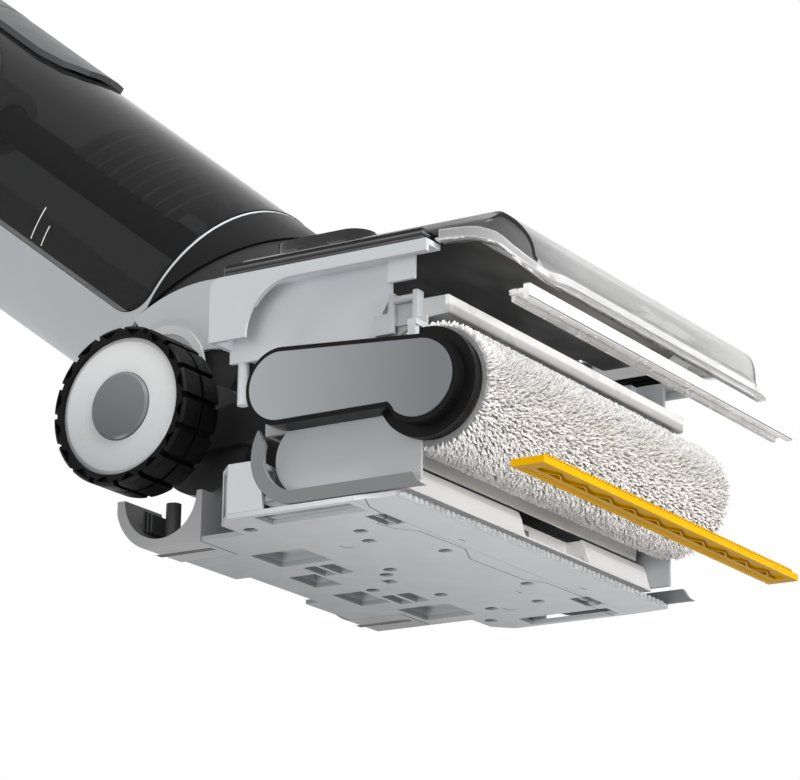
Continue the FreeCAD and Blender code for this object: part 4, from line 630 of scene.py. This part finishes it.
def make_pile():
    """The roller's sleeve and its tufts, set in staggered rows round the roller."""
    low, high = roller_low, roller_high
    axis = (low + high) / 2
    outer = (high.z - low.z) / 2
    root_radius = outer - PILE_LENGTH
    draw = random.Random(11)
    points, faces = [], []
    rows = int(math.tau * root_radius / PILE_PITCH)
    columns = int((high.x - low.x) / PILE_PITCH)
    for row in range(rows):
        for column in range(columns):
            angle = math.tau * (row + draw.uniform(-0.4, 0.4)) / rows
            x = low.x + (column + 0.5 * (row % 2) + draw.uniform(0.1, 0.9)) * PILE_PITCH
            x = min(high.x, x)
            out = Vector((0.0, math.cos(angle), math.sin(angle)))
            root = Vector((x, axis.y, axis.z)) + out * root_radius
            lean = Vector((draw.uniform(-1, 1), 0.0, 0.0)) + out.cross(Vector((1, 0, 0))) * draw.uniform(-1, 1)
            edge = min(x - low.x, high.x - x)
            flare = max(0.0, 1 - edge / FLARE_REACH) * (1 if x > axis.x else -1)
            reach = PILE_LENGTH * draw.uniform(0.72, 1.0)
            tip = root + (out + lean * PILE_LEAN).normalized() * reach
            tip.x = min(max(tip.x + flare * PILE_FLARE, low.x - PILE_PROUD), high.x + PILE_PROUD)
            tuft(points, faces, root, tip, draw.uniform(0, math.tau))
    data = bpy.data.meshes.new("pile_tufts")
    data.from_pydata(points, [], faces)
    fibre = pile_fibre(axis, root_radius, outer)
    piece("pile_tufts", data, fibre, "roller")

    sleeve = bmesh.new()
    sides, stations = 96, 24

    def ring(radius, x):
        return [sleeve.verts.new(round_x(axis, radius, math.tau * side / sides, x)) for side in range(sides)]

    rings = [ring(root_radius + SLEEVE_RISE, low.x + (high.x - low.x) * station / stations)
             for station in range(stations + 1)]
    inner = [ring(root_radius - SLEEVE_WALL, x) for x in (low.x, high.x)]
    chain = [inner[0], *rings, inner[1], inner[0]]
    for one, two in zip(chain, chain[1:]):
        for side in range(sides):
            after = (side + 1) % sides
            sleeve.faces.new((one[side], one[after], two[after], two[side]))
    outward(sleeve)
    backing = piece("pile_backing", from_bmesh("pile_backing", sleeve), fibre, "roller")
    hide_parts("roller_pile")


COVER_CORNER = 28 * MM        # front corners of the cover, seen from above
# How far the cover's lower edge has risen at each distance behind its front, both in mm.
EDGE_RISE = [(2.4, 0.0), (11.0, 8.0), (19.0, 16.4), (30.0, 21.0), (44.0, 22.2), (48.0, 22.4)]
RIM_SECTION = [(-0.4, 0.2), (3.6, 0.2), (4.2, 0.8), (3.6, 1.6), (1.3, 2.0), (1.0, 5.6), (0.4, 6.6), (-0.4, 6.8)]


def edge_rise(behind):
    """Height of the cover's lower edge over its front, this far behind the front."""
    for (start, low), (end, high) in zip(EDGE_RISE, EDGE_RISE[1:]):
        if behind <= end * MM:
            share = max(0.0, (behind / MM - start) / (end - start))
            return (low + (high - low) * share) * MM
    return EDGE_RISE[-1][1] * MM


def make_cover_rim():
    """Thick clear rim round the cover's lower edge, from one side round the front to the other."""
    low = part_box("clear_cover")[0]
    back = low.y + EDGE_RISE[-1][0] * MM
    bend = low.y + COVER_CORNER
    near_x = low.x + COVER_CORNER
    places, outs = [], []
    for step in range(5):
        places.append(Vector((low.x, back + (bend - back) * step / 4, 0.0)))
        outs.append(Vector((-1, 0, 0)))
    for step in range(1, 17):
        angle = math.pi / 2 * step / 16
        out = Vector((-math.cos(angle), -math.sin(angle), 0.0))
        places.append(Vector((near_x, bend, 0.0)) + out * COVER_CORNER)
        outs.append(out)
    mirrored = [Vector((-p.x, p.y, 0.0)) for p in reversed(places)]
    outs += [Vector((-o.x, o.y, 0.0)) for o in reversed(outs)]
    places += mirrored
    for place in places:
        place.z = low.z + edge_rise(place.y - low.y)
    bm = bmesh.new()
    carried(bm, places, outs, [(out * MM, up * MM) for out, up in RIM_SECTION])
    rim = clear("cover_rim", (0.95, 0.95, 0.945), (0.30, 0.30, 0.30), 0.05, 1.44, 0.78, 0.05)
    piece("cover_rim", from_bmesh("cover_rim", bm), rim, "top_cover")


def make_chamber_roof():
    """Dark lining under the cover's flat top, over the roller chamber and between the release buttons."""
    low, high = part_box("clear_cover")
    button_low, button_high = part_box("release_button_near")
    wall, gap, thickness = 2.2 * MM, 0.3 * MM, 0.4 * MM     # of the cover's top, under it, and of the lining
    front, rear = low.y + 46 * MM, low.y + 128 * MM         # where the cover's flat top starts and ends
    room = 1.5 * MM                                         # left round each button
    wide, narrow = high.x - 7 * MM, -button_high.x - room
    step = button_low.y - room
    cut = 10 * MM
    outline = [(-wide, step), (-wide, front + cut), (-wide + cut, front), (wide - cut, front),
               (wide, front + cut), (wide, step), (narrow, step), (narrow, rear), (-narrow, rear),
               (-narrow, step)]
    bm = bmesh.new()
    top = high.z - wall - gap
    prism(bm, outline, top - thickness, top)
    piece("chamber_roof", from_bmesh("chamber_roof", bm), FINISHES["roof"], "top_cover")


def make_scraper_seams():
    """The scraper's two dark parting lines, on its front face and under its shelf."""
    low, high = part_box("clear_scraper")
    bm = bmesh.new()
    slab(bm, low.x, high.x, low.y - 0.06 * MM, low.y + 0.3 * MM, low.z + 0.4 * MM, low.z + 0.9 * MM)
    slab(bm, low.x, high.x, high.y - 0.7 * MM, high.y + 0.05 * MM, low.z + 3.0 * MM, low.z + 3.5 * MM)
    piece("scraper_seams", from_bmesh("scraper_seams", bm), FINISHES["black"], "scraper")


# Heights in mm up the body, turns in degrees from the tank's front.
LEVEL_LINES = [(127.0, 89.3, 105.4), (118.8, 95.3, 105.4)]    # height, and the turns where it starts and ends
LINE_WIDTH = 0.45
LATCH_DOTS = [237.0, 235.0, 233.0]
DOTS_TURN = 21.5
BODY_RADIUS = 60.6            # of the tapered body at its foot, in mm, and how it grows with height
BODY_TAPER = 0.022
SWIVEL_RISE = 34.8 * MM       # of the swivel centre over the body's foot


def on_body(height, turn, out):
    """Point on the tank's skin: height up the body in mm, turn from its front, and how far off the skin."""
    centre, up, to_rear = body_axes()
    foot = centre - up * SWIVEL_RISE
    radius = (BODY_RADIUS + BODY_TAPER * height) * MM + out
    angle = math.radians(turn)
    way = Vector((-1, 0, 0)) * math.sin(angle) - to_rear * math.cos(angle)
    return foot + up * (height * MM) + way * radius


def make_tank_marks():
    """Two plain level lines on the tank, and three dots on its handle."""
    bm = bmesh.new()
    steps = 12
    below, above = -0.05 * MM, 0.06 * MM     # the skin
    for height, first, last in LEVEL_LINES:
        turns = [first + (last - first) * i / steps for i in range(steps + 1)]
        rows = [[bm.verts.new(on_body(height + level, turn, out)) for turn in turns]
                for level, out in ((0.0, below), (0.0, above), (LINE_WIDTH, above), (LINE_WIDTH, below))]
        for one, two in zip(rows, rows[1:] + rows[:1]):
            for i in range(steps):
                bm.faces.new((one[i], one[i + 1], two[i + 1], two[i]))
        for i in (0, -1):
            bm.faces.new([r[i] for r in rows])
    outward(bm)
    piece("level_lines", from_bmesh("level_lines", bm), FINISHES["white"], "waste_tank")
    dots = bmesh.new()
    for height in LATCH_DOTS:
        bmesh.ops.create_icosphere(dots, subdivisions=2, radius=0.45 * MM,
                                   matrix=Matrix.Translation(on_body(height, DOTS_TURN, 3.4 * MM)))
    piece("handle_dots", from_bmesh("handle_dots", dots), FINISHES["black"], "waste_tank")


# Underside, in mm from the plate's middle and front edge.
PARTING_LINE = [(-127, 15.5), (-115, 21), (-95.5, 24), (-88, 34), (-77, 32), (-67, 25), (-29, 24),
                (-11, 32), (37, 31), (47, 25), (91, 24), (94, 31), (111, 30), (127, 31)]
PARTING_WIDTH, MARK_WIDTH, SLOT_WIDTH = 0.45, 0.6, 4.5
MARK_PROUD, SLOT_PROUD = 0.02 * MM, 0.03 * MM     # how far they stand out below the plate's face
MARK_SUNK = 0.1 * MM                              # and how far they reach into it
SMALL_MARKS = [[(-62, 71), (-57, 70.3), (-57, 66)], [(-46, 17), (-41, 16.6)], [(85, 70.5), (90, 70), (90, 66)],
               [(56, 46.4), (61, 46)], [(64, 15.6), (70, 15.2)]]


def make_plate_marks():
    """Winding parting line between the front cover and the plate, small slits, and dark strips that paint the
    shade in the tails' slots.
    """
    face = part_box("base_plate")[0].z
    front_edge = plate_low.y
    bm = bmesh.new()
    for path, width in [(PARTING_LINE, PARTING_WIDTH)] + [(mark, MARK_WIDTH) for mark in SMALL_MARKS]:
        points = [(x * MM, front_edge + y * MM) for x, y in path]
        line_on(bm, points, width * MM, face - MARK_PROUD, face + MARK_SUNK)
    piece("plate_marks", from_bmesh("plate_marks", bm), FINISHES["dark_grey"], "base")
    slots = bmesh.new()
    cradle_low, cradle_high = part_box("cradle_near")
    for side in (-1, 1):
        x = side * -(cradle_low.x + cradle_high.x) / 2
        line_on(slots, [(x, cradle_low.y + 3 * MM), (x, cradle_high.y - 14 * MM)], SLOT_WIDTH * MM,
                face - SLOT_PROUD, face + MARK_SUNK)
    piece("tail_slots", from_bmesh("tail_slots", slots), FINISHES["dark_grey"], "base")


def make_cradle_posts():
    """Dark post and ribbed bracket that stand in each cradle's hollow."""
    for side in ("near", "far"):
        low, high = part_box(f"cradle_{side}")
        x = (low.x + high.x) / 2
        y = low.y + CRADLE_AXIS.y + 3 * MM
        bm = bmesh.new()
        post, sides = 3.6 * MM, 24
        turns = [math.tau * i / sides for i in range(sides)]
        ring = [(x + post * math.cos(turn), y + post * math.sin(turn)) for turn in turns]
        prism(bm, ring, low.z + 7.5 * MM, high.z - 0.5 * MM)
        half, pitch, thickness = 7 * MM, 2.2 * MM, 1.1 * MM
        for number in (-1, 0, 1):
            rib = y + 9 * MM + number * pitch
            slab(bm, x - half, x + half, rib, rib + thickness, low.z + 10 * MM, high.z - (5 - number) * MM)
        outward(bm)
        name = f"cradle_post_{side}"
        piece(name, from_bmesh(name, bm), FINISHES["handle_dark"], "base")


def make_comb_relief():
    """Fine teeth along the comb's front edge, and the zigzag rib under it."""
    low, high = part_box("hair_comb")
    bm = bmesh.new()
    pitch, tooth, depth, end = 2.6 * MM, 1.2 * MM, 2.4 * MM, 3 * MM
    for number in range(int((high.x - low.x - 2 * end) / pitch)):
        x = low.x + end + number * pitch
        slab(bm, x, x + tooth, low.y, low.y + depth, high.z - 0.2 * MM, high.z + 1.1 * MM)
    waves, margin = 20, 12 * MM
    zigzag = []
    for i in range(waves + 1):
        x = low.x + margin + (high.x - low.x - 2 * margin) * i / waves
        zigzag.append((x, low.y + (5.5 if i % 2 else 10.0) * MM))
    line_on(bm, zigzag, 0.9 * MM, low.z + 0.1 * MM, low.z + 1.25 * MM)
    outward(bm)
    piece("comb_relief", from_bmesh("comb_relief", bm), FINISHES["yellow"], "comb")


def make_scoop_inlet():
    """Dark slab on the back of the scoop's recess, the painted shade of the suction inlet's opening."""
    low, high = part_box("suction_scoop")
    bm = bmesh.new()
    back, thickness = high.y - 3.3 * MM, 0.3 * MM     # the recess's back, and the inlet on it
    slab(bm, -3 * MM, 17 * MM, back, back + thickness, low.z + 5 * MM, high.z - 2.5 * MM)
    piece("scoop_inlet", from_bmesh("scoop_inlet", bm), FINISHES["black"], "base")


def make_scoop_wall():
    """Thin curved wall that carries the scoop on upwards behind the roller."""
    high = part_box("suction_scoop")[1]
    axis = Vector((0.0, high.y - 45.9 * MM, high.z + 0.4 * MM))
    half = high.x - 9 * MM
    inner, outer = 31.4 * MM, 32.2 * MM
    start, sweep, steps = 1, 15, 8          # of the arc: degrees, degrees and pieces
    bm = bmesh.new()
    ends = []
    for x in (-half, half):
        ring = []
        for radius, order in ((inner, 1), (outer, -1)):
            for turn in range(steps + 1)[::order]:
                angle = math.radians(start + sweep * turn / steps)
                ring.append(bm.verts.new(round_x(axis, radius, angle, x)))
        ends.append(ring)
    near, far = ends
    bm.faces.new(reversed(near))
    bm.faces.new(far)
    for i in range(len(near)):
        j = (i + 1) % len(near)
        bm.faces.new((near[i], near[j], far[j], far[i]))
    outward(bm)
    piece("scoop_wall", from_bmesh("scoop_wall", bm), FINISHES["white"], "base")


make_pile()
make_scoop_wall()
make_cover_rim()
make_chamber_roof()
make_scraper_seams()
make_tank_marks()
make_plate_marks()
make_cradle_posts()
make_comb_relief()
make_scoop_inlet()


# ---------------------------------------------------------------- studio

def add_camera():
    data = bpy.data.cameras.new("camera")
    data.lens = CAMERA_LENS
    data.sensor_width = 36.0
    data.clip_end = 20.0
    thing = bpy.data.objects.new("camera", data)
    back = CAMERA_RIGHT.cross(CAMERA_UP).normalized()
    turn = Matrix((CAMERA_RIGHT, CAMERA_UP, back)).transposed()
    thing.matrix_world = Matrix.Translation(CAMERA_PLACE) @ turn.to_4x4()
    bpy.context.scene.collection.objects.link(thing)
    bpy.context.scene.camera = thing


def add_lamp(name, place, target, size, power):
    data = bpy.data.lights.new(name, "AREA")
    data.shape = "DISK"
    data.size = size
    data.energy = power
    thing = bpy.data.objects.new(name, data)
    thing.location = place
    thing.rotation_euler = (Vector(target) - Vector(place)).to_track_quat("-Z", "Y").to_euler()
    bpy.context.scene.collection.objects.link(thing)


def add_world(below, above):
    """White where the camera, gloss and glass look, else a grey light that is dimmer from below."""
    world = bpy.data.worlds.new("studio")
    bpy.context.scene.world = world
    world.use_nodes = True
    tree = world.node_tree
    ray = tree.nodes.new("ShaderNodeLightPath")
    seen = tree.nodes.new("ShaderNodeMath")
    seen.operation = "MAXIMUM"
    either = tree.nodes.new("ShaderNodeMath")
    either.operation = "MAXIMUM"
    strength = tree.nodes.new("ShaderNodeMapRange")
    look = tree.nodes.new("ShaderNodeTexCoord")
    height = tree.nodes.new("ShaderNodeSeparateXYZ")
    fill = tree.nodes.new("ShaderNodeMapRange")
    fill.inputs["From Min"].default_value = -1.0
    fill.inputs["To Min"].default_value = below
    fill.inputs["To Max"].default_value = above
    tree.links.new(look.outputs["Generated"], height.inputs["Vector"])
    tree.links.new(height.outputs["Z"], fill.inputs["Value"])
    tree.links.new(fill.outputs["Result"], strength.inputs["To Min"])
    tree.links.new(ray.outputs["Is Camera Ray"], seen.inputs[0])
    tree.links.new(ray.outputs["Is Glossy Ray"], seen.inputs[1])
    tree.links.new(seen.outputs[0], either.inputs[0])
    tree.links.new(ray.outputs["Is Transmission Ray"], either.inputs[1])
    tree.links.new(either.outputs[0], strength.inputs["Value"])
    background = next(n for n in tree.nodes if n.type == "BACKGROUND")
    background.inputs["Color"].default_value = (1.0, 1.0, 1.0, 1.0)
    tree.links.new(strength.outputs["Result"], background.inputs["Strength"])


def add_floor():
    """Pale floor that shows from above only, so that the camera below it sees the object."""
    half = 3.0
    data = bpy.data.meshes.new("floor")
    corners = [(-half, -half, 0), (half, -half, 0), (half, half, 0), (-half, half, 0)]
    data.from_pydata(corners, [], [(0, 1, 2, 3)])
    floor = bpy.data.objects.new("floor", data)
    floor.location.z = cad_low.z - 0.05 * MM
    bpy.context.scene.collection.objects.link(floor)
    material = bpy.data.materials.new("pale_floor")
    material.use_nodes = True
    tree = material.node_tree
    shader = next(n for n in tree.nodes if n.type == "BSDF_PRINCIPLED")
    shader.inputs["Base Color"].default_value = (0.90, 0.90, 0.90, 1.0)
    shader.inputs["Roughness"].default_value = 0.8
    output = next(n for n in tree.nodes if n.type == "OUTPUT_MATERIAL")
    facing = tree.nodes.new("ShaderNodeNewGeometry")
    nothing = tree.nodes.new("ShaderNodeBsdfTransparent")
    mix = tree.nodes.new("ShaderNodeMixShader")
    tree.links.new(facing.outputs["Backfacing"], mix.inputs[0])
    tree.links.new(shader.outputs[0], mix.inputs[1])
    tree.links.new(nothing.outputs[0], mix.inputs[2])
    tree.links.new(mix.outputs[0], output.inputs["Surface"])
    data.materials.append(material)
    for ray in ("diffuse", "glossy", "transmission", "shadow", "volume_scatter"):
        setattr(floor, f"visible_{ray}", False)


HEAD = (0.0, 0.0, 0.07)
add_camera()
add_world(0.18, 0.68)
add_lamp("key", (-0.6, -1.3, 1.7), HEAD, 1.2, 58.0)
add_lamp("side", (-2.0, -0.4, -0.3), HEAD, 1.0, 15.0)
add_lamp("front", (-0.3, -2.0, 0.3), HEAD, 1.0, 30.0)
add_lamp("under", (-0.7, 0.9, -1.6), HEAD, 1.0, 18.0)
add_floor()
bpy.context.scene.view_settings.view_transform = "Standard"
